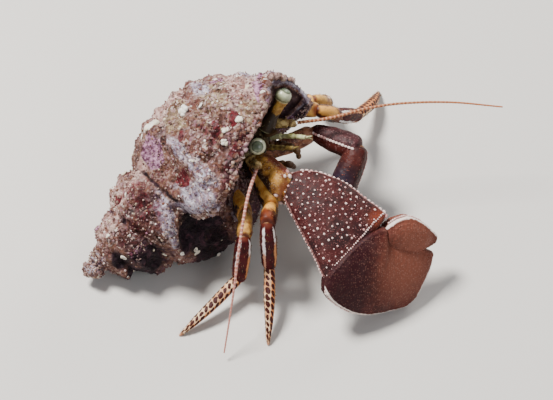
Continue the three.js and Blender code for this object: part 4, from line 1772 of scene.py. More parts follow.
    def rim_beads(self) -> list[Surface]:
        """The beaded rims of the hand and its finger.

        Returns:
            The beads.
        """
        parts, draw, plates = [], np.random.default_rng(12), self.plates()
        for name, side, start, stop in (("palm", 1, -4.9, 14.9), ("dactyl", -1, 4.9, 15.1)):
            sites, outward, along = plates[name][0].rim(side, start, stop, 0.42)
            size = draw.uniform(0.15, 0.22, len(sites))
            parts.append(beads(sites, outward, size, (1, 1.25, 1), along, seed=6))
        return parts

    def thigh_beads(self) -> list[Surface]:
        """The large pale tubercles along the far margin of the merus.

        Returns:
            The beads.
        """
        limb, draw = self.limbs()["merus"][0], np.random.default_rng(13)
        first, second = 13, 8
        angle = np.append(np.linspace(-1.9, 2.6, first), np.linspace(-1.2, 2.2, second))
        share = np.repeat([0.93, 0.8], [first, second]) + draw.normal(size=len(angle)) * 0.015
        sites, outward = limb.at(share, angle)
        size = draw.uniform(0.26, 0.44, len(angle))
        return [beads(sites, unit(outward + 0.5 * limb.direction), size, (1, 1.3, 1),
                      limb.direction, rough=0.04, seed=7)]

    def ornaments(self) -> dict[str, list[Surface]]:
        """Its beads by the name of their piece."""
        return {"wrist_tubercles": self.wrist_beads(), "hand_rim_beads": self.rim_beads(),
                "thigh_tubercles": self.thigh_beads()}


@dataclass
class MinorCheliped(Cheliped):
    """The slim left claw, with a crest of beads along its wrist."""

    side: str = "l"
    hip: Place = (-4, 3, -5)
    lengths: tuple[float, ...] = (4, 8.5, 8.5, 15)
    angles: tuple[tuple[float, float], ...] = ((-51, -34), (25, 10), (-27, 0), (-119, -37))
    skins: tuple[tuple[float, float], ...] = ((1.2, 1.6), (1.3, 1.6), (1.3, 1.6))
    seed: int = 22
    sides: int = 64
    rough: float = 0.1

    def bend(self) -> Array:
        """Direction square to the bend of its wrist."""
        return unit(np.cross(heading(*self.angles[3]), heading(*self.angles[2])))

    def plates(self) -> dict[str, tuple[Plate, Finish, int, int, float, float]]:
        """The movable finger, and the hand with the fixed one.

        Returns:
            What Cheliped.plates gives.
        """
        along = heading(*self.angles[3])
        hand = self.joints()[3], along, unit(np.cross(self.bend(), along))
        sizes = SMALL_HAND, 120, 90, 0.5, 0.06
        return {
            "dactyl": (Plate(*hand, [
                [7.4, -2.2, -0.5, 0.8, 0.8], [9.2, -2.3, -0.4, 0.9, 0.9],
                [12.4, -1.8, -0.4, 0.6, 0.6], [14.8, -0.9, -0.5, 0.1, 0.1],
            ], welt=0.08, pale=Margin.FIRST, glow=(13.0, -1.0, 2.0)), *sizes),
            "palm": (Plate(*hand, [
                [-0.6, -1.4, 1.2, 0.8, 0.8], [1.2, -2.1, 1.8, 1.6, 1.6], [5, -2.4, 2.1, 1.8, 1.8],
                [7, -2.3, 2.1, 1.7, 1.7], [7.5, -0.2, 2.1, 1.5, 1.5], [11, -0.2, 1.7, 1.0, 1.0],
                [15, 0, 0.5, 0.2, 0.2],
            ], welt=0.1, pale=Margin.SECOND, glow=(6.4, -0.6, 2.6)), *sizes),
        }

    def limbs(self) -> dict[str, tuple[Limb, Finish]]:
        """The three near segments.

        Returns:
            What Cheliped.limbs gives.
        """
        left = self.trunk.axes()[1]
        return {
            "ischium": (self.limb(0, left, 3.6, 3.2, [
                [-0.2, 0.7], [0.3, 1], [1.1, 0.8]]), SMALL_LIMB),
            "merus": (self.limb(1, left, 3.8, 3.1, [
                [-0.05, 0.5], [0.12, 0.75], [0.5, 1], [0.85, 0.95], [1.02, 0.6]]), SMALL_LIMB),
            "carpus": (self.limb(2, self.bend(), 4.4, 4.0, [
                [-0.08, 0.5], [0.15, 0.8], [0.6, 1], [0.9, 0.95], [1.04, 0.6]]), SMALL_WRIST),
        }

    def ornaments(self) -> dict[str, list[Surface]]:
        """Rows of pale beads on the wrist and on the edges of the hand.

        Returns:
            The beads by the name of their piece.
        """
        limb, draw = self.limbs()["carpus"][0], np.random.default_rng(14)
        parts = []
        for angle, count, scale in ((1.75, 15, 0.8), (-1.2, 14, 0.6)):
            sites, outward = limb.at(np.linspace(0.03, 0.99, count), np.full(count, angle))
            size = scale * draw.uniform(0.24, 0.34, count)
            parts.append(beads(sites, outward, size, (1, 1.4, 1), limb.direction, seed=8))
        plates = self.plates()
        for name, side, start in (("palm", 1, 0), ("dactyl", -1, 7.8)):
            sites, outward, along = plates[name][0].rim(side, start, 14, 0.5)
            size = draw.uniform(0.13, 0.2, len(sites))
            parts.append(beads(sites, outward, size, (1, 1.3, 1), along, seed=9))
        return {"bead_crests": parts}


# ---- head


@dataclass
class Eye:
    """An eye on its stalk, with the scale at the stalk's foot, a little to the left of the rostrum or
    to its right. The tip is the middle of the cornea.
    """

    side: str
    trunk: Trunk
    to_left: float
    tip: Place
    diameter: float = 2.8

    def base(self) -> Array:
        """Foot of the stalk."""
        return self.trunk.point(-0.6, self.to_left, 0.5)

    def node_centre(self) -> Array:
        """Where the frame's own node of this cornea lies, which is a coarse ball of ten sides.

        Returns:
            The middle of its box.
        """
        ahead = unit(np.array(self.tip) - self.base())
        up = unit(np.cross(self.trunk.axes()[1], ahead))
        rise, angle = grid(np.array([-0.55, -0.2, 0.2, 0.6, 0.9]), circle(10) + math.pi / 10)
        reach = np.sqrt(1 - rise**2)
        corners = np.array(self.tip) + self.diameter / 2 * (
            np.outer(rise, ahead) + np.outer(reach * np.cos(angle), up)
            + np.outer(reach * np.sin(angle), np.cross(ahead, up)))
        return (corners.min(axis=0) + corners.max(axis=0)) / 2

    def build(self, workshop: Workshop) -> None:
        """Makes the cornea, the stalk and the scale.

        Args:
            workshop: Makes the objects.
        """
        tip, base, radius = np.array(self.tip), self.base(), self.diameter / 2
        forward, left, up = self.trunk.axes()
        ahead = unit(tip - base)
        turn, sides = np.linspace(0.62 * math.pi, 0, 40), 56
        line = tip + np.outer(np.cos(turn) * radius, ahead)
        cornea = tube(line, np.maximum(np.sin(turn) * radius, 0.01), sides, up)
        pole = np.cos(np.append(np.repeat(turn, sides), [turn[0], turn[-1]]))
        cornea.masks = {"pole": (pole + 0.4) / 1.4}
        workshop.piece(f"eye_{self.side}_cornea", cornea, CORNEA, f"eye_{self.side}")
        stalk = Limb(base, ahead, left, float(np.linalg.norm(tip - base)), self.diameter * 0.9,
                     self.diameter * 0.9, [
                         [0, 1.2], [0.15, 1.08], [0.5, 0.78], [0.75, 0.8], [0.86, 0.98], [0.93, 1.02],
                     ], rounding=0.04)
        workshop.piece(f"eye_{self.side}_stalk", stalk.surface(80, 48, Noise(31)), STALK,
                       f"eyestalk_{self.side}")
        sideways = math.copysign(0.25, self.to_left)
        scale = Plate(
            self.trunk.point(0.2, self.to_left * 0.8, 0.6),
            unit(forward + sideways * left + 0.3 * up), unit(left), [
                [-0.8, -0.6, 0.6, 0.2, 0.2], [0.2, -0.8, 0.8, 0.3, 0.2], [1.1, -0.5, 0.5, 0.2, 0.1],
                [1.9, -0.1, 0.1, 0.05, 0.05],
            ], edge=0.12, welt=0.04)
        workshop.piece(f"eye_{self.side}_scale", scale.surface(Noise(32), 40, 36, 0.3, 0.02),
                       GREEN_RODS)


@dataclass
class Head:
    """Shield, feelers, mouthparts and the soft part of the trunk under them.

    The rows of the plate and the soft part are those of Trunk.rings. The jaw is a line of places
    ahead of the rostrum, beside its middle and above. A radius is that of a part at its foot.
    """

    trunk: Trunk
    plate: Table = field(default_factory=lambda: [
        [-0.8, 1.2, 0.6, 0], [0.6, 5.2, 1.6, -0.5], [2.2, 7.6, 2.3, -0.7], [8, 8.8, 2.8, -0.8],
        [11.5, 6.4, 1.8, -1.2]])
    soft: Table = field(default_factory=lambda: [
        [0.6, 3.6, 2.6, -3.6], [2, 6.4, 4.4, -4.2], [9, 8.4, 5.6, -4.9], [13, 6.6, 4.6, -4.6]])
    jaw: Table = field(default_factory=lambda: [
        [-2.4, 1.6, -5.4], [1.6, 1.9, -4.4], [4.4, 1.5, -3.2], [5, 0.9, -5]])
    rod_radius: float = 0.48
    lash_radius: float = 0.3
    lash_foot_radius: float = 1.15
    jaw_radius: float = 1.15

    def shield(self) -> Surface:
        """The hard shield, finely grained and pointed between the eyes.

        Returns:
            The shield.
        """
        rows, sides = 110, 90
        points = self.trunk.rings(self.plate, rows, sides).reshape(-1, 3)
        noise = Noise(33)
        rise = 0.05 * noise.grains(points, 0.7)[0] + 0.08 * noise.fractal(points, 2.0)
        share, angle = grid(np.linspace(0.1, 0.9, rows), circle(sides))
        return Surface.from_rings(points + rise[:, None] * self.trunk.axes()[2], rows, {
            "compass": np.stack([np.cos(angle), np.sin(angle), share], -1), "chart": points})

    def skin(self) -> Surface:
        """The soft part of the trunk under the shield.

        Returns:
            The skin.
        """
        points = self.trunk.rings(self.soft, 90, 80).reshape(-1, 3)
        rise = 0.2 * Noise(34).fractal(points, 1.6)
        return Surface.from_rings(points + unit(points - points.mean(axis=0)) * rise[:, None], 90)

    def antennule(self, line: list[Array]) -> Surface:
        """A short inner feeler with its two-branched tip.

        Args:
            line: Points of its stem.

        Returns:
            The feeler.
        """
        up = self.trunk.axes()[2]
        parts = [jointed(line, self.rod_radius, 0.36, (0.34, 0.68), 28, up)]
        end, ahead = line[-1], unit(line[-1] - line[-2])
        for lift, reach in ((0.3, 1.3), (-0.25, 1.0)):
            parts.append(jointed([
                end - ahead * 0.2, end + ahead * 0.5 + up * lift,
                end + ahead * reach + up * lift * 2.2,
            ], 0.2, 0.05, (0.3, 0.45, 0.6, 0.75), 12, up, 50))
        return Surface.joined(parts)

    def build(self, workshop: Workshop) -> None:
        """Makes the pieces of the head.

        Args:
            workshop: Makes the objects.
        """
        point, up = self.trunk.point, self.trunk.axes()[2]
        workshop.piece("shield_plate", self.shield(), SHIELD, "shield")
        for side, finish, line in (
            ("r", GREEN_RODS, [(0.3, -0.9, -0.6), (3.4, -1.0, 0.9), (6.4, -0.9, 2.3)]),
            ("l", PALE_RODS, [(0.3, 0.9, -0.6), (3.4, 1.5, 0.7), (7.6, 1.6, 2.4)]),
        ):
            rods = self.antennule([point(*place) for place in line])
            workshop.piece(f"antennule_{side}_rods", rods, finish, f"antennule_{side}")
        for side, finish, foot, lash in (
            ("r", PINK_FEELER, [point(-1.6, -3.2, -1.4), point(0.2, -4.6, -1.0), [1.2, 18.9, 22.0]], [
                [1.1, 18.3, 21.9], [-0.4, 12.0, 21.4], [-1.6, 6.0, 17.4], [-2.5, 1.6, 11.6],
                [-3.4, -1.6, 6.2], [-4.2, -4.4, 1.9]]),
            ("l", FEELER, [point(-1.6, 3.4, -1.2), point(1.2, 4.0, -0.4), [7.4, 30.4, 19.4]], [
                [7.9, 30.6, 19.4], [13.6, 31.6, 19.5], [19.4, 33.2, 20.0], [25.4, 34.2, 20.2],
                [33.6, 34.8, 19.8], [42.4, 35.0, 18.4]]),
        ):
            meeting = (np.array(foot[-1]) + lash[0]) / 2
            workshop.piece(f"antenna_{side}_foot", jointed(
                [*foot, meeting], self.lash_foot_radius, 0.6, (0.35, 0.72), 32, up), FEELER_FOOT,
                f"antenna_base_{side}")
            share, rings = np.linspace(0, 1, 420), 70
            radii = (self.lash_radius - 0.17 * share) * (1 + 0.12 * np.cos(share * 2 * math.pi * rings))
            line = smooth_line(np.array(lash), len(share))
            workshop.piece(f"antenna_{side}_lash", tube(line, radii, 12, up), finish,
                           f"antenna_{side}")
        for side, sign in (("r", -1), ("l", 1)):
            line = [point(ahead, beside * sign, above) for ahead, beside, above in self.jaw]
            workshop.piece(f"maxilliped_{side}_limb", jointed(
                line, self.jaw_radius, 0.42, (0.3, 0.52, 0.72, 0.88), 32, up), JAW_LIMB,
                f"maxilliped_{side}")
        workshop.piece("trunk_skin", self.skin(), TRUNK_SKIN, "thorax")


# ---- shell


@dataclass(frozen=True)
class Spot:
    """An oval place on the shell, by its angle behind the lip and its distance from the apex.

    Width is half its width in millimetres, length how many times longer than wide it is, and slant
    the direction of its length, 0 round the shell and 90 along it.
    """

    degrees: float
    distance: float
    width: float
    length: float = 1.0
    slant: float = 0.0

    def gap(self, turn: Array, distance: Array, radius: Array) -> Array:
        """How far places are from the middle, in half widths.

        Args:
            turn: Angle behind the lip, in whorls.
            distance: Distance from the apex.
            radius: Radius of the shell there.

        Returns:
            0 in the middle and 1 on the edge of the oval.
        """
        swing = turn - self.degrees / 360
        around = (swing - np.round(swing)) * 2 * math.pi * radius
        behind = distance - self.distance
        cosine, sine = math.cos(math.radians(self.slant)), math.sin(math.radians(self.slant))
        long = (around * cosine + behind * sine) / self.length
        return np.hypot(long, behind * cosine - around * sine) / self.width


FORMS = (
    (-1.0, 228, 18, 8), (1.2, 105, 40, 7), (1.0, 150, 30, 5), (-2.4, 322, 28, 8), (0.9, 200, 20, 4),
    (0.8, 260, 30, 5), (-0.3, 108, 24, 5, 2.0, 90), (-0.9, 105, 6.5, 2.4),
    (1.7, 42, 23.8, 1.1, 4.6), (-1.2, 38, 21.3, 1.1, 2.8), (1.9, 6, 21.8, 2.5, 1.4, -20),
    (-3.2, 336, 18.6, 3.7, 1.3, 20), (-1.6, 10, 17.7, 1.7, 1.4), (-1.2, 296, 19.0, 3.6),
    (1.5, 350, 14.6, 1.3, 4.0, 7), (-1.2, 54, 21.8, 1.1, 3.6, 58), (-1.0, 322, 10.8, 1.7, 1.8),
    (0.8, 2, 8.2, 1.6, 1.6), (0.9, 76, 22.6, 2.2), (1.0, 36, 45.0, 1.8),
)
PATCHES = {
    Mark.ALGAE: ((69, 20.4, 2.3, 1.2), (356, 8.9, 2.0), (70, 45, 3.0), (12, 41.4, 2.2, 1.4),
        (60, 36, 1.4), (150, 26, 4.0), (210, 34, 4.0), (120, 8, 3.0), (250, 14, 3.0)),
    Mark.MAROON: ((49, 25.8, 1.1), (33, 21.7, 1.4), (76, 11.3, 1.0), (42, 13.8, 1.7, 1.6, 60),
        (27, 31.1, 1.1), (17, 34.4, 1.3), (6, 31.0, 1.4, 3.2, 90), (130, 33, 2.0), (200, 24, 1.6)),
    Mark.ROSY: ((44, 14.4, 3.4, 1.4), (28, 12.0, 3.4, 1.2), (14, 9.6, 3.4, 1.4), (344, 9.6, 3.4, 1.6),
        (30, 30.4, 3.6, 1.3), (4, 30.0, 1.8, 4.0, 90), (180, 24, 12.0, 1.6)),
    Mark.OLIVE: ((62, 27.2, 2.8, 1.3), (44, 34.0, 3.2, 1.5), (34, 30.6, 3.0, 1.5),
        (10, 37.4, 2.4, 1.4), (150, 32, 6.0, 1.5)),
    Mark.BUFF: ((48, 41, 5.6, 2.4), (86, 27, 4.6, 1.4), (76, 17.0, 2.4, 1.3), (84, 11.8, 3.6, 1.2),
        (78, 7.6, 2.8, 1.2), (230, 12, 6.0, 1.5)),
    Mark.PALE: ((46, 24.3, 1.3, 2.6), (24, 25.1, 1.4, 2.8, -4), (4, 44.2, 3.0, 1.2, 90),
        (58, 42.4, 2.6, 2.4), (62, 33.4, 1.8, 2.0), (12, 21.6, 3.0, 1.4, -20),
        (14, 15.7, 1.4, 4.8, 16), (298, 25.6, 1.6, 2.4), (40, 1.6, 2.2)),
    Mark.SAND: ((30, 31, 10.0), (110, 30, 12.0), (70, 10, 6.0), (220, 28, 12.0)),
    # Patches of painted shade, over the hollows and the far side of the lip.
    Mark.PIT: ((334, 18.6, 4.6, 1.4, 20), (292, 18.5, 4.6, 1.4), (326, 9.8, 3.0, 1.8),
        (352, 5.4, 1.8, 1.6), (300, 7.0, 2.6, 1.8), (352, 44.6, 2.2)),
}
KNOB_SPOTS = (
    (78, 23.2, 1.3), (59, 28.7, 1.0), (20, 32.2, 0.7), (13, 35.1, 0.8), (16, 30.9, 0.65),
    (32, 25.0, 0.4), (66, 12.9, 0.4), (52, 6.3, 0.45), (26, 9.2, 0.3), (140, 36, 0.9),
    (180, 28, 1.1), (230, 36, 0.8), (250, 24, 0.9), (120, 18, 0.8), (300, 32, 0.6), (5, 41, 0.7),
)


@dataclass
class SpiralShell:
    """A whelk shell wound to the right, thickly encrusted.

    The axis points from the apex along the shell, and the lip from the axis to the lip's edge.
    Growth is the size of a whorl over the one before. By distance, profile is the radius of a whorl,
    wear the share of it that is left, and slant the degrees by which the lip is ahead. The profile
    and the mouth, a loop of distances from the axis and along it, are measured from the tip of the
    spire before worn_tip wore away.
    """

    apex: Place = (-27, 11.8, 3)
    axis: Place = (0.787, 0.49, 0.375)
    lip: Place = (0.16, -0.778, 0.609)
    length: float = 47
    worn_tip: float = 5
    growth: float = 1.53
    columella: float = 1.2
    whorls: int = 6
    profile: Table = field(default_factory=lambda: [
        [23, 9.2], [26, 12.6], [29, 15.0], [32, 16.1], [36, 16.4], [40, 16.3], [44, 15.0],
        [48, 12.0], [51, 8.4], [52.5, 5.6]])
    wear: Table = field(default_factory=lambda: [[-0.8, 0.45], [0.6, 0.75], [2.6, 0.55], [4.4, 1]])
    slant: Table = field(default_factory=lambda: [
        [22, 9], [28, -2], [33, -14], [37, -21], [39.5, -27], [41.5, -36], [43, -50], [45, -50],
        [48, -40]])
    lump_height: float = 0.7
    lump_size: float = 5.6
    mouth: Table = field(default_factory=lambda: [
        [9.4, 25.5], [12.4, 28], [14.4, 32], [14.6, 37], [13.6, 42], [10.4, 46.5], [6.2, 50],
        [1.8, 49], [2.2, 43], [4.8, 36], [8.4, 28]])

    def axes(self) -> tuple[Array, Array, Array]:
        """Directions of the shell.

        Returns:
            Unit directions along the axis, to the lip and square to both.
        """
        along = unit(np.array(self.axis))
        outward = unit(np.cross(along, self.lip))
        return along, unit(np.cross(outward, along)), outward

    def place(self, turn: Array, distance: Array, radius: Array) -> Array:
        """Places by angle and distance.

        Args:
            turn: Angle behind the lip, in whorls.
            distance: Distance from the apex.
            radius: Distance from the axis.

        Returns:
            Points.
        """
        along, lip, outward = self.axes()
        slant = np.radians(np.interp(distance, *np.array(self.slant).T)) * (1 - turn)
        angle = slant - turn * 2 * math.pi
        return (np.array(self.apex) + np.outer(distance, along)
                + np.outer(radius * np.cos(angle), lip) + np.outer(radius * np.sin(angle), outward))

    def radius(self, turn: Array, distance: Array) -> tuple[Array, Array]:
        """Radius of the clean outside and how near each place is to a suture.

        Args:
            turn: Angle behind the lip, in whorls.
            distance: Distance from the apex.

        Returns:
            The radius, and a value from 0 to 1 that is 1 on a suture.
        """
        wear = np.interp(distance, *np.array(self.wear).T)
        best = self.columella * wear
        second = np.zeros_like(best)
        for whorl in range(self.whorls):
            scale = self.growth ** -(turn + whorl)
            height = (distance + self.worn_tip) / scale
            inside = (height >= self.profile[0][0]) & (height <= self.profile[-1][0])
            reach = np.where(inside, scale * eased(self.profile, height) * wear, 0)
            second = np.maximum(second, np.minimum(best, reach))
            best = np.maximum(best, reach)
        suture = np.exp(-((best - second) / 0.55) ** 2) * (second > 1.5)
        whorl = best
        for height, *oval in FORMS:
            best = best + height * np.exp(-Spot(*oval).gap(turn, distance, whorl) ** 2)
        foot = Spot(245, 22, 14).gap(turn, distance, whorl)
        waves = self.place(turn, distance, whorl) * 2 * math.pi / self.lump_size
        lump = np.prod(np.sin(waves), axis=-1)
        best = best + self.lump_height * (lump - 0.5) * (1 - np.exp(-foot**4))
        return np.maximum(best, 0.4), suture

    def outside(self, columns: int = 460, rows: int = 280) -> Surface:
        """The crusted outside, closed across the mouth.

        Args:
            columns: Points round the shell.
            rows: Points along it.

        Returns:
            The closed surface, with the mask of every mark, and the mask under, which sets where shade
            is painted on the undersides.
        """
        noise = Noise(41)
        start, stop = self.wear[0][0], self.length
        distance, turn = grid(np.linspace(start, stop, rows), np.linspace(0, 1, columns))
        radius, suture = self.radius(turn, distance)
        clean = self.place(turn, distance, radius)
        ragged = noise.fractal(clean, 2.4, 5)
        knobs, _ = noise.grains(clean + 0.5 * ragged[:, None], 2.1)
        grit, tone = noise.grains(clean, 0.62)
        masks = {mark: np.max([
            1 - fade(Spot(*oval).gap(turn, distance, radius) + 0.4 * ragged, 0.45, 1.25)
            for oval in ovals], axis=0) for mark, ovals in PATCHES.items()}
        rough = (0.3 * noise.fractal(clean, 2.6, 4) + 0.4 * (knobs - 0.5) + 0.16 * grit * (1 + tone)
                 + 0.14 * noise.fractal(clean, 0.7, 3) - 0.3 * suture - 0.05)
        near_lip = fade(turn, 0, 0.02) * 0.6 + 0.4
        radius = (radius + rough * near_lip) * rounded(distance, start, stop, 1.4)
        # Painted shade along the sutures and in the low places of the crust.
        crevice_shade = suture * (0.3 + 0.6 * ragged) - 1.1 * rough - 0.1
        masks[Mark.PIT] = np.maximum(masks[Mark.PIT], np.clip(crevice_shade, 0, 1))
        points = self.place(turn, distance, np.maximum(radius, 0.05))
        middle = self.place(turn, distance, np.zeros_like(radius))
        # The mask under rises where the surface faces downwards; the finish paints shade there.
        masks["under"] = fade(-unit(points - middle)[..., 2], -0.15, 0.8)
        return Surface.from_rings(points, rows, masks)

    def hollow(self, rows: int = 70, sides: int = 120) -> Surface:
        """The space inside the mouth.

        Args:
            rows: Rings from the lip inwards.
            sides: Points of each ring.

        Returns:
            The closed surface, with the mask inward, which rises into the mouth and sets where shade is
            painted.
        """
        outline = np.array(self.mouth)
        loop = smooth_line(np.concatenate([outline[-2:], outline, outline[:2]]), 6 * sides)
        bearing = np.unwrap(np.arctan2(*(loop - outline.mean(axis=0)).T[::-1]))
        wanted = bearing[len(loop) // 8] - circle(sides)
        order = np.argsort(bearing)
        reach, height = (np.interp(wanted, bearing[order], column[order], period=2 * math.pi)
                         for column in loop.T)
        turns = np.linspace(-0.05, 0.36, rows)
        rings = []
        for turn in turns:
            scale = self.growth ** -turn
            rings.append(self.place(np.full(sides, turn), height * scale - self.worn_tip,
                                    reach * scale * (1 - 0.4 * max(turn, 0))))
        # How far into the mouth each ring lies, which sets the painted shade of its finish.
        inward = np.repeat(np.clip(turns, 0, 1), sides) + 0.01
        return Surface.from_rings(np.array(rings), rows, {"inward": inward})

    def build(self, workshop: Workshop) -> bpy.types.Object:
        """Makes the shell and cuts its mouth.

        Args:
            workshop: Makes the objects.

        Returns:
            The shell.
        """
        inside = self.hollow()
        inside.slot = 1
        body = workshop.mesh("shell_body", self.outside(), CRUST, NACRE)
        cutter = workshop.mesh("mouth_cutter", inside, CRUST, NACRE)
        cut = body.modifiers.new("mouth", "BOOLEAN")
        cut.operation, cut.solver, cut.object = "DIFFERENCE", "MANIFOLD", cutter
        view = bpy.context.evaluated_depsgraph_get()
        carved = bpy.data.meshes.new_from_object(body.evaluated_get(view))
        body.modifiers.clear()
        body.data = carved
        bpy.data.objects.remove(cutter)
        workshop.fit(body, Slot.SHELL, "shell")
        return body


def read(items: bpy.types.bpy_prop_collection, key: str, width: int = 1) -> Array:
    """One property of every item of a mesh.

    Args:
        items: The items.
        key: Name of the property.
        width: How many numbers it has.

    Returns:
        One value or row for each item.
    """
    values = np.empty(len(items) * width)
    items.foreach_get(key, values)
    return values.reshape(-1, width).squeeze()


@dataclass
class Encrustation:
    """Limy knobs, worm tubes, turf and grit that sit on the body of the finished shell."""

    shell: SpiralShell
    workshop: Workshop
    body: bpy.types.Object

    @cached_property
    def points(self) -> Array:
        """The body's points, in the animal's own space."""
        return read(self.body.data.vertices, "co", 3) / MILLIMETRE - self.workshop.shift

    @cached_property
    def normals(self) -> Array:
        """The body's direction outwards at its points."""
        return read(self.body.data.vertices, "normal", 3)

    def mask(self, name: str) -> Array:
        """A named value at each point of the shell."""
        return read(self.body.data.attributes[name].data, "value")

    def build(self, lobes: int = 9, crumbs: int = 120, grains: int = 5200) -> None:
        """Makes everything that sits on the shell.

        Args:
            lobes: Lobes of each of the larger knobs.
            crumbs: Number of small knobs.
            grains: Number of grains of grit.
        """
        points, normals, draw = self.points, self.normals, np.random.default_rng(42)
        degrees, distance, sizes = np.array(KNOB_SPOTS).T
        radius, _ = self.shell.radius(degrees / 360, distance)
        wanted = self.shell.place(degrees / 360, distance, radius + 0.5)
        nearest = [int(np.argmin(np.sum((points - place) ** 2, axis=1))) for place in wanted]
        sizes = np.repeat(sizes, lobes)
        outward = np.repeat(normals[nearest], lobes, axis=0)
        apart = unit(np.cross(draw.normal(size=outward.shape), outward))
        apart = apart * (sizes * draw.uniform(0.1, 0.8, len(sizes)))[:, None]
        sites = np.repeat(points[nearest], lobes, axis=0) + apart + outward * sizes[:, None] * 0.15
        sizes = sizes * draw.uniform(0.32, 0.6, len(sizes))
        leaning = unit(outward + draw.normal(size=outward.shape) * 0.2)
        parts = [beads(sites, leaning, sizes, (1, 0.9, 0.8), level=3, rough=0.05, seed=43)]
        chosen = draw.choice(len(points), crumbs, replace=False)
        size = draw.uniform(0.1, 0.24, crumbs)
        parts.append(beads(points[chosen], normals[chosen], size, (1, 1, 0.8), rough=0.1, seed=44))
        self.workshop.piece("shell_knobs", Surface.joined(parts), KNOBS)
        self.tubes()
        self.turf()
        # Grit is kept off the patches of painted shade.
        chosen = draw.choice(np.flatnonzero(self.mask(Mark.PIT) < 0.4), grains, replace=False)
        size = draw.uniform(0.09, 0.26, grains) * draw.uniform(0.7, 1.3, grains)
        shape = draw.uniform(0.6, 1.2, (grains, 3))
        self.workshop.piece("shell_grit", beads(
            points[chosen] + normals[chosen] * 0.02, normals[chosen], size, shape, level=1,
            rough=0.25, seed=45), GRIT)

    def turf(self, stubs: int = 1500, lumps: int = 260) -> None:
        """Makes stubs of turf on the pale and lilac patches, and lumps along the lip.

        Args:
            stubs: Number of stubs.
            lumps: Number of lumps.
        """
        draw = np.random.default_rng(47)
        covered = np.flatnonzero(np.maximum(self.mask(Mark.PALE), self.mask(Mark.ALGAE)) > 0.5)
        chosen = draw.choice(covered, stubs, replace=False)
        width, height = draw.uniform(0.07, 0.13, stubs), draw.uniform(0.16, 0.42, stubs)
        leaning = unit(self.normals[chosen] + draw.normal(size=(stubs, 3)) * 0.3)
        parts = [beads(self.points[chosen], leaning, np.ones(stubs), np.stack(
            [width, width * 1.2, height], -1), level=1, rough=0.12, seed=48)]
        turn, distance = draw.uniform(0.0, 0.022, lumps), draw.uniform(19.5, 46.4, lumps)
        radius, _ = self.shell.radius(turn, distance)
        sites = self.shell.place(turn, distance, radius)
        outward = unit(sites - self.shell.place(turn, distance, radius * 0))
        size = draw.uniform(0.16, 0.46, lumps) * (1 + 0.5 * fade(distance, 34, 42))
        leaning = unit(outward + draw.normal(size=(lumps, 3)) * 0.6)
        parts.append(beads(sites - outward * 0.1, leaning, size, (1, 1.3, 0.8), rough=0.24, seed=49))
        self.workshop.piece("shell_turf", Surface.joined(parts), GRIT)

    def tubes(self, count: int = 26) -> None:
        """Makes small coiled worm tubes.

        Args:
            count: Number of tubes.
        """
        draw, coils, steps = np.random.default_rng(46), [], 60
        for site in draw.choice(len(self.points), count, replace=False):
            up = self.normals[site]
            east = unit(np.cross(up, draw.normal(size=3)))
            turn = np.linspace(0, draw.uniform(3.2, 4.4) * math.pi, steps)
            share = turn / turn[-1]
            reach = draw.uniform(0.28, 0.5) * share**0.8 + 0.04
            line = (self.points[site] + up * 0.08 + np.outer(reach * np.cos(turn), east)
                    + np.outer(reach * np.sin(turn), np.cross(up, east)))
            coil = tube(line, 0.04 + 0.11 * share, 10, up)
            shade = np.full(len(coil.points), draw.random())
            coil.masks = {"tone": shade, "crown": np.ones_like(shade)}
            coils.append(coil)
        self.workshop.piece("shell_worm_tubes", Surface.joined(coils), KNOBS)


# ---- bristles, studio, main


@dataclass
class Bristles:
    """Short stiff hairs on the segments of limbs: the count and the length on each.

    Thick is the radius of a hair's foot, and map_name the name of the map of the hairs' roots.
    """

    limbs: list[Limb]
    count: int = 90
    length: float = 0.5
    thick: float = 0.028
    map_name: str = "OFBake"

    def build(self, workshop: Workshop) -> None:
        """Makes all the hairs as one mesh with a map of their roots.

        Args:
            workshop: Makes the objects.
        """
        draw = np.random.default_rng(51)
        rows = []
        for row, limb in enumerate(self.limbs):
            share = draw.uniform(0.08, 0.97, self.count)
            angle = draw.uniform(-math.pi, math.pi, self.count)
            points, outward = limb.at(share, angle)
            way = unit(outward + limb.direction * draw.uniform(0.5, 1.1, (self.count, 1)))
            size = self.length * draw.uniform(0.5, 1.1, self.count)
            spot = np.stack([share, (row + (angle / math.pi + 1) / 2) / len(self.limbs)], -1)
            rows.append((points - outward * 0.03, way, size, spot))
        root, way, size, spot = (np.concatenate(column) for column in zip(*rows))
        side = unit(np.cross(way, draw.normal(size=way.shape)))
        other, bend, size = np.cross(way, side), side * 0.12, size[:, None]
        rings = [
            root + way * size * share + bend * size * share**2
            + self.thick * width * (side * math.cos(angle) + other * math.sin(angle))
            for share, width in ((0, 1.0), (0.5, 0.75)) for angle in circle(3)]
        rings.append(root + way * size + bend * size)
        faces, corners = [[2, 1, 0]], len(rings)
        for corner, after in ((0, 1), (1, 2), (2, 0)):
            faces += [[corner, after, after + 3], [corner, after + 3, corner + 3],
                      [corner + 3, after + 3, 6]]
        index = (np.array(faces) + np.arange(len(root))[:, None, None] * corners).reshape(-1, 3)
        hairs = workshop.piece("limb_bristles", Surface(
            np.stack(rings, axis=1).reshape(-1, 3), [index],
            {"crown": np.tile([0, 0, 0, 0.6, 0.6, 0.6, 1.0], len(root)),
             "tone": np.repeat(draw.random(len(root)), corners)}), BRISTLE)
        offsets = np.array([[0, 0], [1, 0], [0, 1], [0, 0.5], [1, 0.5], [0.5, 1], [0.5, 0.5]]) * 0.003
        places = (spot[:, None] * 0.99 + offsets).reshape(-1, 2)
        chart = hairs.data.uv_layers.new(name=self.map_name)
        chart.uv.foreach_set("vector", places[index.ravel()].astype(np.float32).ravel())


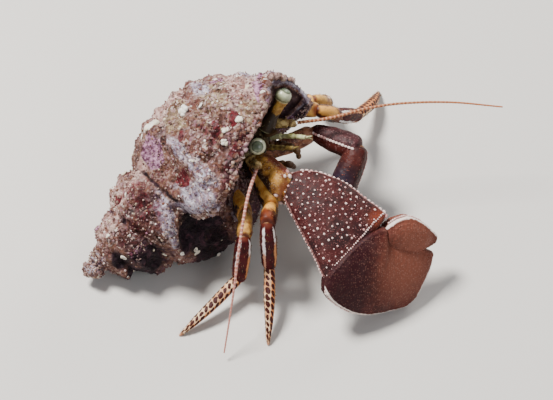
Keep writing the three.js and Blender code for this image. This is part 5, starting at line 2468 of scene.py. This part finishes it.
@dataclass(frozen=True)
class Studio:
    """Floor, lights and camera.

    The camera looks at the aim, a place in the animal's own space, from an elevation in degrees and
    a distance in millimetres, at which it sees the view's width.
    """

    aim: Place = (4.42, 19.95, 12.0)
    elevation: float = 50.0
    distance: float = 620.0
    view_width: float = 92.2

    def stand(self, name: str, data: bpy.types.ID, place: Vector, back: Vector) -> bpy.types.Object:
        """Sets a lamp or a camera in its place.

        Args:
            name: Name of the object.
            data: The lamp or the camera.
            place: Where it stands, in metres.
            back: Direction from what it looks at to the place.

        Returns:
            The object.
        """
        holder = bpy.data.objects.new(name, data)
        holder.location = place
        holder.rotation_mode = "QUATERNION"
        holder.rotation_quaternion = (-back).to_track_quat("-Z", "Y")
        bpy.context.scene.collection.objects.link(holder)
        return holder

    def build(self, workshop: Workshop) -> None:
        """Makes the floor, the lights and the camera.

        Args:
            workshop: Knows where the animal's own space lies.
        """
        bpy.ops.mesh.primitive_plane_add(size=4, location=(0, 0, 0))
        floor = bpy.context.object
        floor.name = "studio_floor"
        floor.data.materials.append(FLOOR.material())
        for name, place, size, power, colour in (
            ("key", (-0.2, 0.06, 0.44), 0.14, 5.2, (1.0, 0.97, 0.93)),
            ("fill", (0.3, -0.4, 0.35), 0.35, 1.0, (0.93, 0.96, 1.0)),
            ("back", (0.3, 0.4, 0.3), 0.25, 1.2, (1.0, 0.98, 0.95)),
        ):
            lamp = bpy.data.lights.new(name, "AREA")
            lamp.shape, lamp.size, lamp.energy, lamp.color = "DISK", size, power, colour
            self.stand(name, lamp, place, Vector(place) - Vector((0, 0, 0.01)))
        world = bpy.data.worlds.new("studio")
        world.use_nodes = True
        sky = world.node_tree.nodes["Background"].inputs
        sky["Color"].default_value, sky["Strength"].default_value = (0.9, 0.93, 1.0, 1), 0.22
        bpy.context.scene.world = world
        lens = bpy.data.cameras.new("camera")
        lens.sensor_width, lens.clip_start, lens.clip_end = 36.0, 0.01, 10
        lens.lens = lens.sensor_width * self.distance / self.view_width
        rise = math.radians(self.elevation)
        back = Vector((0, -math.cos(rise), math.sin(rise)))
        aim = Vector(workshop.metres(np.array(self.aim)))
        bpy.context.scene.camera = self.stand(
            "camera", lens, aim + back * self.distance * MILLIMETRE, back)


def main() -> None:
    """Builds every sub-assembly over the frame."""
    logging.basicConfig(level=logging.INFO, format="%(message)s")
    trunk = Trunk()
    eyes = [Eye("r", trunk, -1.4, (1.3, 22.0, 23.3)), Eye("l", trunk, 1.4, (5.5, 30.9, 25.8))]
    low, high = (np.array(corner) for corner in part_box("eye_r"))
    workshop = Workshop((low + high) / 2 / MILLIMETRE - eyes[0].node_centre())
    Studio().build(workshop)
    second, third = [4.5, 12, 6.2, 10.5, 13.5], [4.5, 10.5, 5.8, 9.8, 14]
    legs = [
        WalkingLeg("leg2_r", trunk.point(-6.5, -4, -5.5), second,
                   [[-3, 34], [-71, 0], [-98, 25], [-31, -88], [-91, -30]], 61),
        WalkingLeg("leg3_r", trunk.point(-9, -4.3, -5.5), third,
                   [[-55, -31], [-70, 20], [-92, 10], [-141, -83], [-138, -18]], 62, TAN_KNEE),
        WalkingLeg("leg2_l", trunk.point(-6.5, 4, -5.5), second,
                   [[72, 4], [-23, 19], [41, -47], [61, -45], [69, -28]], 63),
        WalkingLeg("leg3_l", trunk.point(-9, 4.3, -5.5), third,
                   [[31, -26], [19, 5], [58, -54], [91, -44], [170, -7]], 64, TAN_KNEE),
    ]
    claws = [MajorCheliped(trunk), MinorCheliped(trunk)]
    for part in (*legs, *claws, *eyes, Head(trunk)):
        part.build(workshop)
    joints = Surface.joined([skin for limb in (*legs, *claws) for skin in limb.sleeves()])
    workshop.piece("joint_skin", joints, JOINT_SKIN)
    shell = SpiralShell()
    Encrustation(shell, workshop, shell.build(workshop)).build()
    Bristles([limb for leg in legs for limb in leg.limbs()[1:]]).build(workshop)
    LOG.info("%d nodes dressed", len(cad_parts))


if __name__ == "__main__":
    main()
